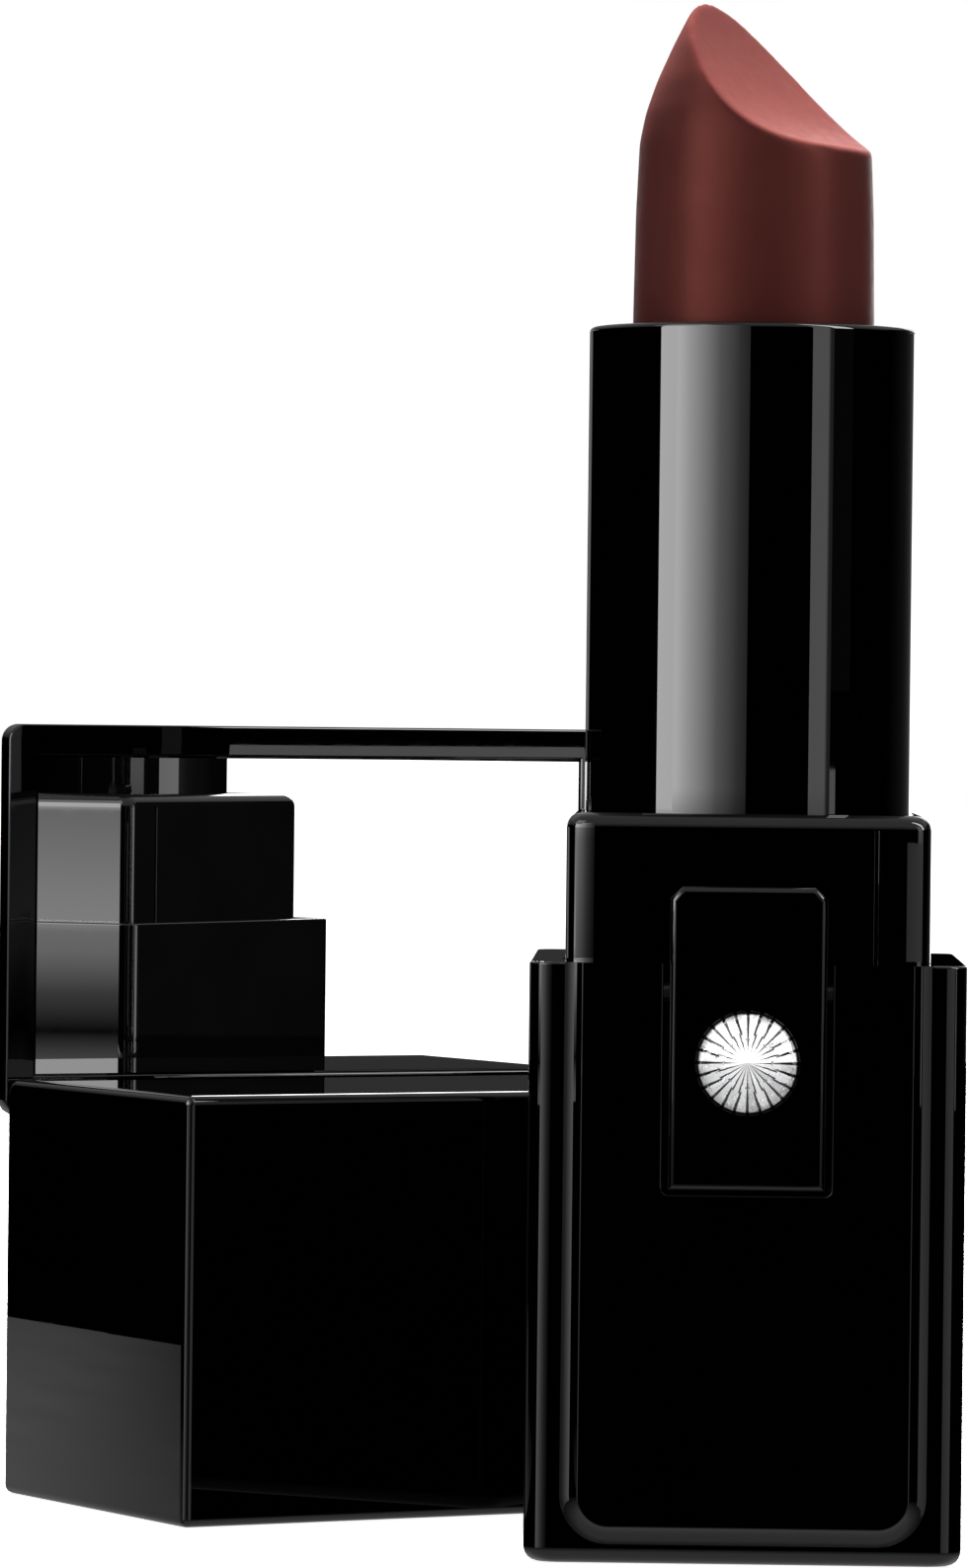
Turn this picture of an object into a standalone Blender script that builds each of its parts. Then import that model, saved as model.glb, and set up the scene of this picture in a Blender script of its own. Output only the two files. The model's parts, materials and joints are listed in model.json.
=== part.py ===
"""A square lipstick case in metres, +Z up.

The base stands on the origin, with the lipstick wound out along +Z. The cap lies on its side behind it,
squared to the axes with its mouth towards +X, and its mirror lid stands open along the cap's rear edge.
The base is turned by BASE_TURN about Z. Its pieces are modelled in the base's own frame, front towards -Y.
"""

from math import cos, pi, radians, sin

import bmesh
import bpy
from mathutils import Matrix, Vector

MM = 0.001

# Fits
SNUG = 0.10 * MM  # between pieces that are fixed to each other
LOOSE = 0.15 * MM  # between pieces that slide or turn
ROUND = 48  # sides of the large round pieces
SMALL_ROUND = 16

# Base: outer sleeve, in the base's own frame
BASE_TURN = radians(-30.2)
BASE_WIDTH = 21.5 * MM
BASE_DEPTH = 23.4 * MM
SLEEVE_HEIGHT = 29.5 * MM
BACK_MARGIN = 1.3 * MM
SIDE_RADIUS = 1.1 * MM
BACK_RADIUS = 0.9 * MM
FOOT_RADIUS = 0.8 * MM
RIM_BEVEL = 0.15 * MM
PANEL_WIDTH = 18.0 * MM
PANEL_RISE = 0.46 * MM
PANEL_FOOT = 1.7 * MM
PANEL_CORNER = 2.2 * MM

# Base: collar
COLLAR_SIDE = 18.1 * MM
COLLAR_FOOT = 6.0 * MM
COLLAR_TOP = 36.8 * MM
COLLAR_CORNER = 1.25 * MM
COLLAR_TOP_RADIUS = 0.7 * MM

# Base: cover and weight
COVER_THICKNESS = 1.6 * MM
WEIGHT_HEIGHT = 3.6 * MM

# Catch
NOTCH_WIDTH = 8.3 * MM
NOTCH_FOOT = 18.2 * MM
TONGUE_WIDTH = 7.7 * MM
TONGUE_FOOT = 18.45 * MM
TONGUE_TOP = 33.3 * MM
TONGUE_PROUD = 0.85 * MM  # in front of the raised panel
TONGUE_THICKNESS = 1.5 * MM
TONGUE_LIP = 0.75 * MM  # thickness above the rim, where the lid passes behind it
TONGUE_BEVEL = 0.3 * MM
PIVOT_HEIGHT = 28.0 * MM
PIVOT_DEPTH = 1.7 * MM  # behind the raised panel
EAR_WIDTH = 2.0 * MM
EAR_RADIUS = 0.9 * MM
PIN_DIAMETER = 0.8 * MM
PIN_LENGTH = 10.6 * MM
SPRING_WIRE = 0.3 * MM
SPRING_TURNS = 3.5
SPRING_FRONT_LEG = 2.0 * MM
SPRING_REAR_LEG = 3.4 * MM
CRYSTAL_HEIGHT = 24.7 * MM
CRYSTAL_DIAMETER = 4.7 * MM
CRYSTAL_TABLE = 2.5 * MM
CRYSTAL_CROWN = 0.75 * MM
CRYSTAL_PAVILION = 0.6 * MM
SETTING_DIAMETER = 5.3 * MM
SETTING_DEPTH = 0.95 * MM
SETTING_WALL = 0.15 * MM

# Twist mechanism
TUBE_DIAMETER = 16.5 * MM
TUBE_TOP = 61.15 * MM
TUBE_FOOT = 30.0 * MM
TUBE_WALL = 0.4 * MM
TUBE_RIM_RADIUS = 0.2 * MM
SPIRAL_WALL = 0.65 * MM
GUIDE_WALL = 0.4 * MM
GUIDE_FLANGE = 1.6 * MM
CUP_WALL = 0.3 * MM
CUP_HEIGHT = 10.5 * MM
CUP_FLOOR = 1.0 * MM
CUP_BELOW_RIM = 0.8 * MM
LUG_DIAMETER = 1.2 * MM
TRAVEL = 17.5 * MM
TWIST = radians(450)
GROOVE_STEPS = 50

# Lipstick
BULLET_DIAMETER = 12.2 * MM
BULLET_TIP = 78.2 * MM
BULLET_IN_CUP = 9.0 * MM
FACET_TURN = radians(-31)  # direction in which the slanted facet falls
FACET_LOW = 70.15 * MM
FACET_REACH = 6.1 * MM
FACET_CURVE = 94.0  # per metre
SHOULDER = (  # heights and radii of the turned outline, in millimetres
    (61.0, 6.1),
    (67.0, 6.0),
    (70.5, 5.85),
    (72.0, 5.55),
    (73.6, 5.0),
    (75.4, 4.15),
    (76.9, 3.35),
    (78.2, 2.4),
)

# Cap, squared to the axes
CAP_CLOSED_END = -23.2 * MM
CAP_FRONT = 16.4 * MM
CAP_LENGTH = 36.6 * MM
CAP_DEPTH = 21.25 * MM
CAP_HEIGHT = 22.0 * MM
CAP_EDGE = 0.45 * MM
CAP_END_WALL = 1.2 * MM
CAP_WALL = 1.0 * MM
CAP_UNDER_WALL = 0.8 * MM
BORE_HEIGHT = 19.1 * MM
LINER_WALL = 0.35 * MM
LINER_SHORT = 0.4 * MM
PAD_THICKNESS = 0.8 * MM

# Lid, standing open behind the cap
LID_HEIGHT = 20.8 * MM
LID_THICKNESS = 1.35 * MM
LID_GAP = 0.05 * MM
LID_CORNER = 0.9 * MM
HINGE_INSET = 1.0 * MM  # of the hinge axis from the cap's top and rear planes
KNUCKLE_RADIUS = 0.7 * MM
KNUCKLE_LENGTH = 5.0 * MM
KNUCKLE_FROM_END = 4.0 * MM
KNUCKLE_ROOM = 0.15 * MM
HINGE_PIN_DIAMETER = 0.6 * MM
HINGE_PIN_LENGTH = 8.0 * MM
MIRROR_TOP_BAR = 1.65 * MM
MIRROR_SIDE_BAR = 1.7 * MM
MIRROR_FOOT_BAR = 2.1 * MM
MIRROR_TRAY = 0.85 * MM
MIRROR_THICKNESS = 0.48 * MM
MIRROR_SUNK = 0.15 * MM
FILM_THICKNESS = 0.1 * MM
FILM_GAP = 0.05 * MM

# Worked out from the above
BASE_BACK = COLLAR_SIDE / 2 + BACK_MARGIN
PANEL_FRONT = BASE_BACK - BASE_DEPTH
RAIL_FRONT = PANEL_FRONT + PANEL_RISE
CAVITY_SIDE = COLLAR_SIDE + 2 * SNUG
TONGUE_FRONT = PANEL_FRONT - TONGUE_PROUD
TONGUE_BACK = TONGUE_FRONT + TONGUE_THICKNESS
PIVOT_Y = PANEL_FRONT + PIVOT_DEPTH
TUBE_RADIUS = TUBE_DIAMETER / 2
SPIRAL_RADIUS = TUBE_RADIUS - TUBE_WALL - SNUG
GUIDE_RADIUS = SPIRAL_RADIUS - SPIRAL_WALL - LOOSE
CUP_RADIUS = GUIDE_RADIUS - GUIDE_WALL - LOOSE
BULLET_RADIUS = BULLET_DIAMETER / 2
CUP_TOP = TUBE_TOP - CUP_BELOW_RIM
CUP_BOTTOM = CUP_TOP - CUP_HEIGHT
LUG_Z = CUP_BOTTOM + LUG_DIAMETER
GUIDE_TOP = CUP_TOP - 1.5 * MM
GUIDE_FOOT = TUBE_FOOT - 3.0 * MM
GROOVE_WIDTH = LUG_DIAMETER + 4 * LOOSE
CAP_MOUTH = CAP_CLOSED_END + CAP_LENGTH
CAP_REAR = CAP_FRONT + CAP_DEPTH
HINGE_Y = CAP_REAR - HINGE_INSET
HINGE_Z = CAP_HEIGHT - HINGE_INSET
LID_FRONT = CAP_REAR + LID_GAP
LID_FOOT = HINGE_Z - HINGE_INSET
KNUCKLE_STARTS = (CAP_CLOSED_END + KNUCKLE_FROM_END, CAP_MOUTH - KNUCKLE_FROM_END - KNUCKLE_LENGTH)


# ---- Shape helpers -------------------------------------------------------------------------------


def material(name, colour, roughness, metallic=0.0):
    """A Principled material with one colour, given in linear light."""
    made = bpy.data.materials.new(name)
    made.use_nodes = True
    shader = made.node_tree.nodes["Principled BSDF"]
    shader.inputs["Base Color"].default_value = (*colour, 1.0)
    shader.inputs["Roughness"].default_value = roughness
    shader.inputs["Metallic"].default_value = metallic
    return made


def add_object(name, bm, finish=None, parent=None):
    """Links a bmesh as an object, with smooth faces between sharp edges."""
    bmesh.ops.recalc_face_normals(bm, faces=bm.faces)
    mesh = bpy.data.meshes.new(name)
    bm.to_mesh(mesh)
    bm.free()
    mesh.shade_smooth()
    mesh.set_sharp_from_angle(angle=radians(35))
    made = bpy.data.objects.new(name, mesh)
    bpy.context.collection.objects.link(made)
    made.parent = parent
    if finish:
        mesh.materials.append(finish)
    else:
        made.hide_render = True
        made.display_type = "WIRE"
    return made


def block(low, high):
    """A box between two corners."""
    bm = bmesh.new()
    size = Vector(high) - Vector(low)
    centre = (Vector(high) + Vector(low)) / 2
    bmesh.ops.create_cube(bm, size=1.0, matrix=Matrix.Translation(centre) @ Matrix.Diagonal((*size, 1)))
    return bm


def round_edges(bm, chosen, radius, segments=3):
    """Rounds the edges whose two ends satisfy chosen(a, b)."""
    edges = [edge for edge in bm.edges if chosen(edge.verts[0].co, edge.verts[1].co)]
    bmesh.ops.bevel(bm, geom=edges, offset=radius, segments=segments, profile=0.5, affect="EDGES")
    return bm


def along(axis):
    """Chooses edges that run along one axis."""
    return lambda a, b: abs((b - a).normalized()[axis]) > 0.999


def at(axis, place):
    """Chooses edges that lie in one plane."""
    return lambda a, b: abs(a[axis] - place) < 1e-6 and abs(b[axis] - place) < 1e-6


def turned(profile, sides, centre=(0, 0, 0), axis="Z"):
    """Turns a closed (radius, height) outline round an axis. A point at radius 0 becomes one pole."""
    bm = bmesh.new()
    rings = []
    for radius, height in profile:
        count = sides if radius > 0 else 1
        angles = [2 * pi * step / sides for step in range(count)]
        rings.append([bm.verts.new((radius * cos(a), radius * sin(a), height)) for a in angles])
    for ring, following in zip(rings, rings[1:] + rings[:1]):
        for step in range(sides):
            corners = []
            for vertex in (
                ring[step % len(ring)],
                ring[(step + 1) % len(ring)],
                following[(step + 1) % len(following)],
                following[step % len(following)],
            ):
                if vertex not in corners:
                    corners.append(vertex)
            if len(corners) > 2:
                bm.faces.new(corners)
    turn = {"Z": Matrix(), "Y": Matrix.Rotation(pi / 2, 4, "X"), "X": Matrix.Rotation(pi / 2, 4, "Y")}[axis]
    bmesh.ops.transform(bm, matrix=Matrix.Translation(centre) @ turn, verts=bm.verts)
    return bm


def tube(inner, outer, low, high, sides=ROUND):
    """A plain round tube, or a rod where inner is 0, along Z."""
    return turned([(inner, low), (outer, low), (outer, high), (inner, high)], sides)


def rod(diameter, start, length, axis, sides=SMALL_ROUND):
    """A round rod from start, along X, or along Y towards the front."""
    radius = diameter / 2
    return turned([(0, 0), (radius, 0), (radius, length), (0, length)], sides, start, axis)


def prism(outline, low, high):
    """Extrudes a list of (x, y) points along Z."""
    bm = bmesh.new()
    face = bm.faces.new([bm.verts.new((x, y, low)) for x, y in outline])
    sides = bmesh.ops.extrude_face_region(bm, geom=[face])["geom"]
    top = [item for item in sides if isinstance(item, bmesh.types.BMVert)]
    bmesh.ops.translate(bm, verts=top, vec=(0, 0, high - low))
    return bm


def swept(path, section):
    """A closed solid through a list of frames (origin, u, v), with (a, b) section points in each."""
    bm = bmesh.new()
    rings = [[bm.verts.new(origin + a * u + b * v) for a, b in section] for origin, u, v in path]
    for ring, following in zip(rings, rings[1:]):
        for step in range(len(section)):
            after = (step + 1) % len(section)
            bm.faces.new((ring[step], ring[after], following[after], following[step]))
    bm.faces.new(rings[0])
    bm.faces.new(rings[-1])
    return bm


def boolean(target, other, operation="DIFFERENCE"):
    """Cuts or joins another object, which is a helper from then on."""
    modifier = target.modifiers.new(other.name, "BOOLEAN")
    modifier.operation = operation
    modifier.object = other
    modifier.solver = "EXACT"


def cut(target, name, bm):
    boolean(target, add_object(name, bm, parent=target.parent))


def join(target, name, bm):
    boolean(target, add_object(name, bm, parent=target.parent), "UNION")


# ---- Base ----------------------------------------------------------------------------------------


def make_outer_sleeve(base, finish):
    half = BASE_WIDTH / 2
    bm = block((-half, RAIL_FRONT, 0), (half, BASE_BACK, SLEEVE_HEIGHT))
    round_edges(bm, lambda a, b: along(2)(a, b) and a.y < 0, SIDE_RADIUS, 5)
    round_edges(bm, lambda a, b: along(2)(a, b) and a.y > BASE_BACK - MM / 10, BACK_RADIUS, 3)
    round_edges(bm, at(2, 0), FOOT_RADIUS, 3)
    round_edges(bm, at(2, SLEEVE_HEIGHT), RIM_BEVEL, 1)
    sleeve = add_object("outer_sleeve", bm, finish, base)

    half_panel = PANEL_WIDTH / 2
    panel = block((-half_panel, PANEL_FRONT, PANEL_FOOT), (half_panel, RAIL_FRONT + SIDE_RADIUS, SLEEVE_HEIGHT))
    round_edges(panel, lambda a, b: along(1)(a, b) and a.z < SLEEVE_HEIGHT / 2, PANEL_CORNER, 4)
    below_rim = SLEEVE_HEIGHT - MM / 10
    round_edges(panel, lambda a, b: at(1, PANEL_FRONT)(a, b) and min(a.z, b.z) < below_rim, PANEL_RISE * 0.9, 3)
    join(sleeve, "panel_form", panel)

    half_cavity = CAVITY_SIDE / 2
    cavity = block((-half_cavity, -half_cavity, -MM), (half_cavity, half_cavity, SLEEVE_HEIGHT + MM))
    round_edges(cavity, along(2), COLLAR_CORNER - SNUG, 3)
    cut(sleeve, "sleeve_cavity", cavity)

    notch_floor = PIVOT_Y + EAR_RADIUS + 0.5 * MM
    half_notch = NOTCH_WIDTH / 2
    notch = block((-half_notch, PANEL_FRONT - MM, NOTCH_FOOT), (half_notch, notch_floor, SLEEVE_HEIGHT + MM))
    cut(sleeve, "catch_notch", notch)
    half_bore = PIN_LENGTH / 2 + SNUG
    bore = rod(PIN_DIAMETER + 2 * SNUG, (-half_bore, PIVOT_Y, PIVOT_HEIGHT), 2 * half_bore, "X")
    cut(sleeve, "catch_pin_bore", bore)


def make_bottom_cover(base, finish):
    half = CAVITY_SIDE / 2 - SNUG
    bm = block((-half, -half, 0), (half, half, COVER_THICKNESS))
    round_edges(bm, along(2), COLLAR_CORNER, 3)
    add_object("bottom_cover", bm, finish, base)


def make_ballast_weight(base, finish):
    half = CAVITY_SIDE / 2 - 2 * SNUG
    low = COVER_THICKNESS + SNUG
    bm = block((-half, -half, low), (half, half, low + WEIGHT_HEIGHT))
    round_edges(bm, along(2), COLLAR_CORNER, 3)
    add_object("ballast_weight", bm, finish, base)


def make_collar(base, finish):
    half = COLLAR_SIDE / 2
    bm = block((-half, -half, COLLAR_FOOT), (half, half, COLLAR_TOP))
    round_edges(bm, along(2), COLLAR_CORNER, 4)
    round_edges(bm, at(2, COLLAR_TOP), COLLAR_TOP_RADIUS, 3)
    collar = add_object("collar", bm, finish, base)
    cut(collar, "collar_bore", tube(0, TUBE_RADIUS + LOOSE, COLLAR_FOOT - MM, COLLAR_TOP + MM))


def make_inner_guide(base, finish):
    bore = GUIDE_RADIUS - GUIDE_WALL
    flange = TUBE_RADIUS - SNUG
    profile = [
        (bore, GUIDE_FOOT),
        (flange, GUIDE_FOOT),
        (flange, GUIDE_FOOT + GUIDE_FLANGE),
        (GUIDE_RADIUS, GUIDE_FOOT + GUIDE_FLANGE),
        (GUIDE_RADIUS, GUIDE_TOP),
        (bore, GUIDE_TOP),
    ]
    guide = add_object("inner_guide", turned(profile, ROUND), finish, base)
    width = LUG_DIAMETER / 2 + LOOSE
    low = LUG_Z - TRAVEL - width
    high = LUG_Z + width
    cut(guide, "guide_slots", block((-TUBE_RADIUS, -width, low), (TUBE_RADIUS, width, high)))


def make_catch_pin(base, finish):
    start = (-PIN_LENGTH / 2, PIVOT_Y, PIVOT_HEIGHT)
    add_object("catch_pin", rod(PIN_DIAMETER, start, PIN_LENGTH, "X", 12), finish, base)


def make_catch_spring(base, finish):
    """A torsion spring round the pin: one leg down behind the tongue, one down the back of the notch."""
    radius = PIN_DIAMETER / 2 + SPRING_WIRE / 2 + SNUG
    pitch = SPRING_WIRE * 1.35
    steps = int(SMALL_ROUND * SPRING_TURNS)
    spine = []
    for step in range(steps + 1):
        angle = 2 * pi * SPRING_TURNS * step / steps
        x = pitch * SPRING_TURNS * (step / steps - 0.5)
        spine.append(Vector((x, PIVOT_Y - radius * cos(angle), PIVOT_HEIGHT + radius * sin(angle))))
    spine.insert(0, spine[0] - Vector((0, 0, SPRING_FRONT_LEG)))
    spine.append(spine[-1] - Vector((0, 0, SPRING_REAR_LEG)))
    path = []
    for place, point in enumerate(spine):
        before = spine[max(place - 1, 0)]
        after = spine[min(place + 1, len(spine) - 1)]
        wire_direction = (after - before).normalized()
        u = wire_direction.cross(Vector((1, 0, 0))).normalized()
        path.append((point, u, wire_direction.cross(u)))
    half = SPRING_WIRE / 2
    section = [(half * cos(pi * k / 3), half * sin(pi * k / 3)) for k in range(6)]
    add_object("catch_spring", swept(path, section), finish, base)


# ---- Catch ---------------------------------------------------------------------------------------


def make_catch_tongue(base, finish):
    half = TONGUE_WIDTH / 2
    bm = block((-half, TONGUE_FRONT, TONGUE_FOOT), (half, TONGUE_BACK, TONGUE_TOP))
    round_edges(bm, lambda a, b: along(1)(a, b) and a.z > SLEEVE_HEIGHT, 2 * TONGUE_BEVEL, 1)
    round_edges(bm, at(1, TONGUE_FRONT), TONGUE_BEVEL, 2)
    tongue = add_object("catch_tongue", bm, finish, base)
    relief_low = (-TONGUE_WIDTH, TONGUE_FRONT + TONGUE_LIP, SLEEVE_HEIGHT - 0.3 * MM)
    cut(tongue, "lid_relief", block(relief_low, (TONGUE_WIDTH, TONGUE_BACK + MM, TONGUE_TOP + MM)))
    for side, name in ((-1, "left"), (1, "right")):
        outer = side * (half - 0.2 * MM)
        inner = outer - side * EAR_WIDTH
        ear = block(
            (min(outer, inner), TONGUE_BACK - 0.3 * MM, PIVOT_HEIGHT - EAR_RADIUS),
            (max(outer, inner), PIVOT_Y + EAR_RADIUS, PIVOT_HEIGHT + EAR_RADIUS),
        )
        join(tongue, f"{name}_ear", ear)
    bore = rod(PIN_DIAMETER + 2 * LOOSE, (-TONGUE_WIDTH, PIVOT_Y, PIVOT_HEIGHT), 2 * TONGUE_WIDTH, "X")
    cut(tongue, "tongue_bore", bore)
    recess_floor = (0, TONGUE_FRONT + SETTING_DEPTH + SNUG, CRYSTAL_HEIGHT)
    cut(tongue, "setting_recess", rod(SETTING_DIAMETER + 2 * SNUG, recess_floor, 2 * MM, "Y", 32))


def make_crystal_setting(base, finish):
    outer = SETTING_DIAMETER / 2
    inner = outer - SETTING_WALL
    profile = [
        (0, 0),
        (outer, 0),
        (outer, SETTING_DEPTH),
        (inner, SETTING_DEPTH),
        (inner, SETTING_WALL),
        (0, SETTING_WALL),
    ]
    bm = turned(profile, 32, (0, TONGUE_FRONT + SETTING_DEPTH, CRYSTAL_HEIGHT), "Y")
    add_object("crystal_setting", bm, finish, base)


def make_crystal(base, finish):
    """A round brilliant with a flattened point, table towards the front."""
    girdle = CRYSTAL_DIAMETER / 2
    profile = [
        (0, 0),
        (girdle * 0.3, 0),
        (girdle, CRYSTAL_PAVILION),
        (girdle, CRYSTAL_PAVILION + 0.1 * MM),
        (CRYSTAL_TABLE / 2, CRYSTAL_PAVILION + CRYSTAL_CROWN),
        (0, CRYSTAL_PAVILION + CRYSTAL_CROWN),
    ]
    back = TONGUE_FRONT + SETTING_DEPTH - SETTING_WALL - SNUG
    add_object("crystal", turned(profile, 16, (0, back, CRYSTAL_HEIGHT), "Y"), finish, base)


# ---- Twist mechanism -----------------------------------------------------------------------------


def make_outer_tube(base, finish):
    bore = TUBE_RADIUS - TUBE_WALL
    profile = [(bore, TUBE_FOOT), (TUBE_RADIUS, TUBE_FOOT), (TUBE_RADIUS, TUBE_TOP - TUBE_RIM_RADIUS)]
    for step in (1, 2, 3):
        angle = pi / 2 * step / 3
        radius = TUBE_RADIUS - TUBE_RIM_RADIUS * (1 - cos(angle))
        profile.append((radius, TUBE_TOP - TUBE_RIM_RADIUS * (1 - sin(angle))))
    profile.append((bore, TUBE_TOP))
    add_object("outer_tube", turned(profile, ROUND), finish, base)


def groove(start_angle):
    """A helical cutter that follows one lug as the tube turns round the guide, with room beyond both ends."""
    room = GROOVE_WIDTH / 2 / GUIDE_RADIUS / TWIST
    half = GROOVE_WIDTH / 2
    section = [(-MM / 2, -half), (SPIRAL_WALL + MM, -half), (SPIRAL_WALL + MM, half), (-MM / 2, half)]
    path = []
    for step in range(GROOVE_STEPS + 1):
        share = -room + (1 + 2 * room) * step / GROOVE_STEPS
        angle = start_angle - TWIST * share
        outward = Vector((cos(angle), sin(angle), 0))
        origin = outward * (SPIRAL_RADIUS - SPIRAL_WALL) + Vector((0, 0, LUG_Z - TRAVEL * share))
        path.append((origin, outward, Vector((0, 0, 1))))
    return swept(path, section)


def make_spiral_sleeve(base, finish):
    bm = tube(SPIRAL_RADIUS - SPIRAL_WALL, SPIRAL_RADIUS, TUBE_FOOT + SNUG, CUP_TOP - MM)
    sleeve = add_object("spiral_sleeve", bm, finish, base)
    for number, start in enumerate((0, pi)):
        cut(sleeve, f"groove_{number}", groove(start))


def make_glide_ring(base, finish):
    low = GUIDE_FOOT + GUIDE_FLANGE + SNUG
    ring = tube(GUIDE_RADIUS + LOOSE, TUBE_RADIUS - SNUG, low, TUBE_FOOT - SNUG)
    add_object("glide_ring", ring, finish, base)


def make_carrier_cup(base, finish):
    bore = CUP_RADIUS - CUP_WALL
    profile = [
        (0, CUP_BOTTOM),
        (CUP_RADIUS, CUP_BOTTOM),
        (CUP_RADIUS, CUP_TOP),
        (bore, CUP_TOP),
        (bore, CUP_BOTTOM + CUP_FLOOR),
        (0, CUP_BOTTOM + CUP_FLOOR),
    ]
    cup = add_object("carrier_cup", turned(profile, ROUND), finish, base)
    reach = SPIRAL_RADIUS - 2 * SNUG
    inside = CUP_RADIUS - CUP_WALL / 2
    for side, start in (("left", -reach), ("right", inside)):
        join(cup, f"{side}_lug", rod(LUG_DIAMETER, (start, 0, LUG_Z), reach - inside, "X", 12))


def bullet_radius(height):
    """Radius of the lipstick's turned outline at a height above its widest part."""
    level = height / MM
    for (low, wide), (high, narrow) in zip(SHOULDER, SHOULDER[1:]):
        if level <= high:
            return MM * (wide + (narrow - wide) * max(level - low, 0) / (high - low))
    return SHOULDER[-1][1] * MM


def make_lipstick_bullet(base, finish):
    """A turned stick with a shoulder, cut by one concave slanted facet."""
    foot = CUP_TOP - BULLET_IN_CUP
    in_cup = min(BULLET_RADIUS, CUP_RADIUS - CUP_WALL - SNUG)
    profile = [(0, foot), (in_cup, foot), (in_cup, TUBE_TOP - 0.2 * MM)]
    levels = 12
    start = TUBE_TOP + 5 * MM
    for step in range(levels + 1):
        height = start + (BULLET_TIP - start) * step / levels
        profile.append((bullet_radius(height), height))
    profile.append((0, BULLET_TIP))
    bullet = add_object("lipstick_bullet", turned(profile, ROUND), finish, base)

    reach = 9 * MM
    sky = BULLET_TIP + 3 * reach
    outline = [(-reach, sky)]
    for step in range(13):
        across = reach * (step / 6 - 1)
        outline.append((across, FACET_LOW + FACET_CURVE * (FACET_REACH - across) ** 2))
    outline.append((reach, sky))
    cutter = prism(outline, -reach, reach)
    bmesh.ops.rotate(cutter, cent=(0, 0, 0), matrix=Matrix.Rotation(pi / 2, 3, "X"), verts=cutter.verts)
    bmesh.ops.rotate(cutter, cent=(0, 0, 0), matrix=Matrix.Rotation(FACET_TURN, 3, "Z"), verts=cutter.verts)
    cut(bullet, "facet_cutter", cutter)


# ---- Cap -----------------------------------------------------------------------------------------


def make_cap_shell(finish):
    """The rear top edge is rounded about the hinge axis, so that the lid can swing over it."""
    bm = block((CAP_CLOSED_END, CAP_FRONT, 0), (CAP_MOUTH, CAP_REAR, CAP_HEIGHT))
    round_edges(bm, lambda a, b: at(1, CAP_REAR)(a, b) and at(2, CAP_HEIGHT)(a, b), HINGE_INSET, 6)
    barrel = lambda a: a.y > HINGE_Y - SNUG and a.z > HINGE_Z - SNUG
    round_edges(bm, lambda a, b: not at(0, CAP_MOUTH)(a, b) and not (along(0)(a, b) and barrel(a)), CAP_EDGE, 3)
    shell = add_object("cap_shell", bm, finish)
    bore = block(
        (CAP_CLOSED_END + CAP_END_WALL, CAP_FRONT + CAP_WALL, CAP_UNDER_WALL),
        (CAP_MOUTH + MM, CAP_REAR - CAP_WALL, CAP_UNDER_WALL + BORE_HEIGHT),
    )
    cut(shell, "cap_bore", bore)
    room = KNUCKLE_RADIUS + KNUCKLE_ROOM
    for number, start in enumerate(KNUCKLE_STARTS):
        notch = block(
            (start - KNUCKLE_ROOM, HINGE_Y - room, HINGE_Z - room),
            (start + KNUCKLE_LENGTH + KNUCKLE_ROOM, CAP_REAR + MM, CAP_HEIGHT + MM),
        )
        cut(shell, f"knuckle_notch_{number}", notch)
        bore_length = HINGE_PIN_LENGTH + 2 * SNUG
        bore_start = (start + (KNUCKLE_LENGTH - bore_length) / 2, HINGE_Y, HINGE_Z)
        cut(shell, f"hinge_bore_{number}", rod(HINGE_PIN_DIAMETER + 2 * SNUG, bore_start, bore_length, "X", 12))


def make_cap_liner(finish):
    low = (CAP_CLOSED_END + CAP_END_WALL + SNUG, CAP_FRONT + CAP_WALL + SNUG, CAP_UNDER_WALL + SNUG)
    high = (CAP_MOUTH - LINER_SHORT, CAP_REAR - CAP_WALL - SNUG, CAP_UNDER_WALL + BORE_HEIGHT - SNUG)
    liner = add_object("cap_liner", block(low, high), finish)
    inside_low = (low[0] - MM, low[1] + LINER_WALL, low[2] + LINER_WALL)
    inside_high = (high[0] + MM, high[1] - LINER_WALL, high[2] - LINER_WALL)
    cut(liner, "liner_inside", block(inside_low, inside_high))


def make_cap_end_pad(finish):
    inset = LINER_WALL + 3 * SNUG
    low = (CAP_CLOSED_END + CAP_END_WALL + SNUG, CAP_FRONT + CAP_WALL + inset, CAP_UNDER_WALL + inset)
    high = (low[0] + PAD_THICKNESS, CAP_REAR - CAP_WALL - inset, CAP_UNDER_WALL + BORE_HEIGHT - inset)
    add_object("cap_end_pad", block(low, high), finish)


def make_hinge_pins(finish):
    for end, start in zip(("closed_end", "mouth_end"), KNUCKLE_STARTS):
        pin_start = (start + (KNUCKLE_LENGTH - HINGE_PIN_LENGTH) / 2, HINGE_Y, HINGE_Z)
        pin = rod(HINGE_PIN_DIAMETER, pin_start, HINGE_PIN_LENGTH, "X", 12)
        add_object(f"hinge_pin_{end}", pin, finish)


# ---- Lid -----------------------------------------------------------------------------------------


def mirror_box(front, back, inset):
    """A box inside the lid's frame, between two depths behind the lid's front."""
    side = MIRROR_SIDE_BAR + inset
    low = (CAP_CLOSED_END + side, LID_FRONT + front, LID_FOOT + MIRROR_FOOT_BAR + inset)
    high = (CAP_MOUTH - side, LID_FRONT + back, LID_FOOT + LID_HEIGHT - MIRROR_TOP_BAR - inset)
    return block(low, high)


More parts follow.
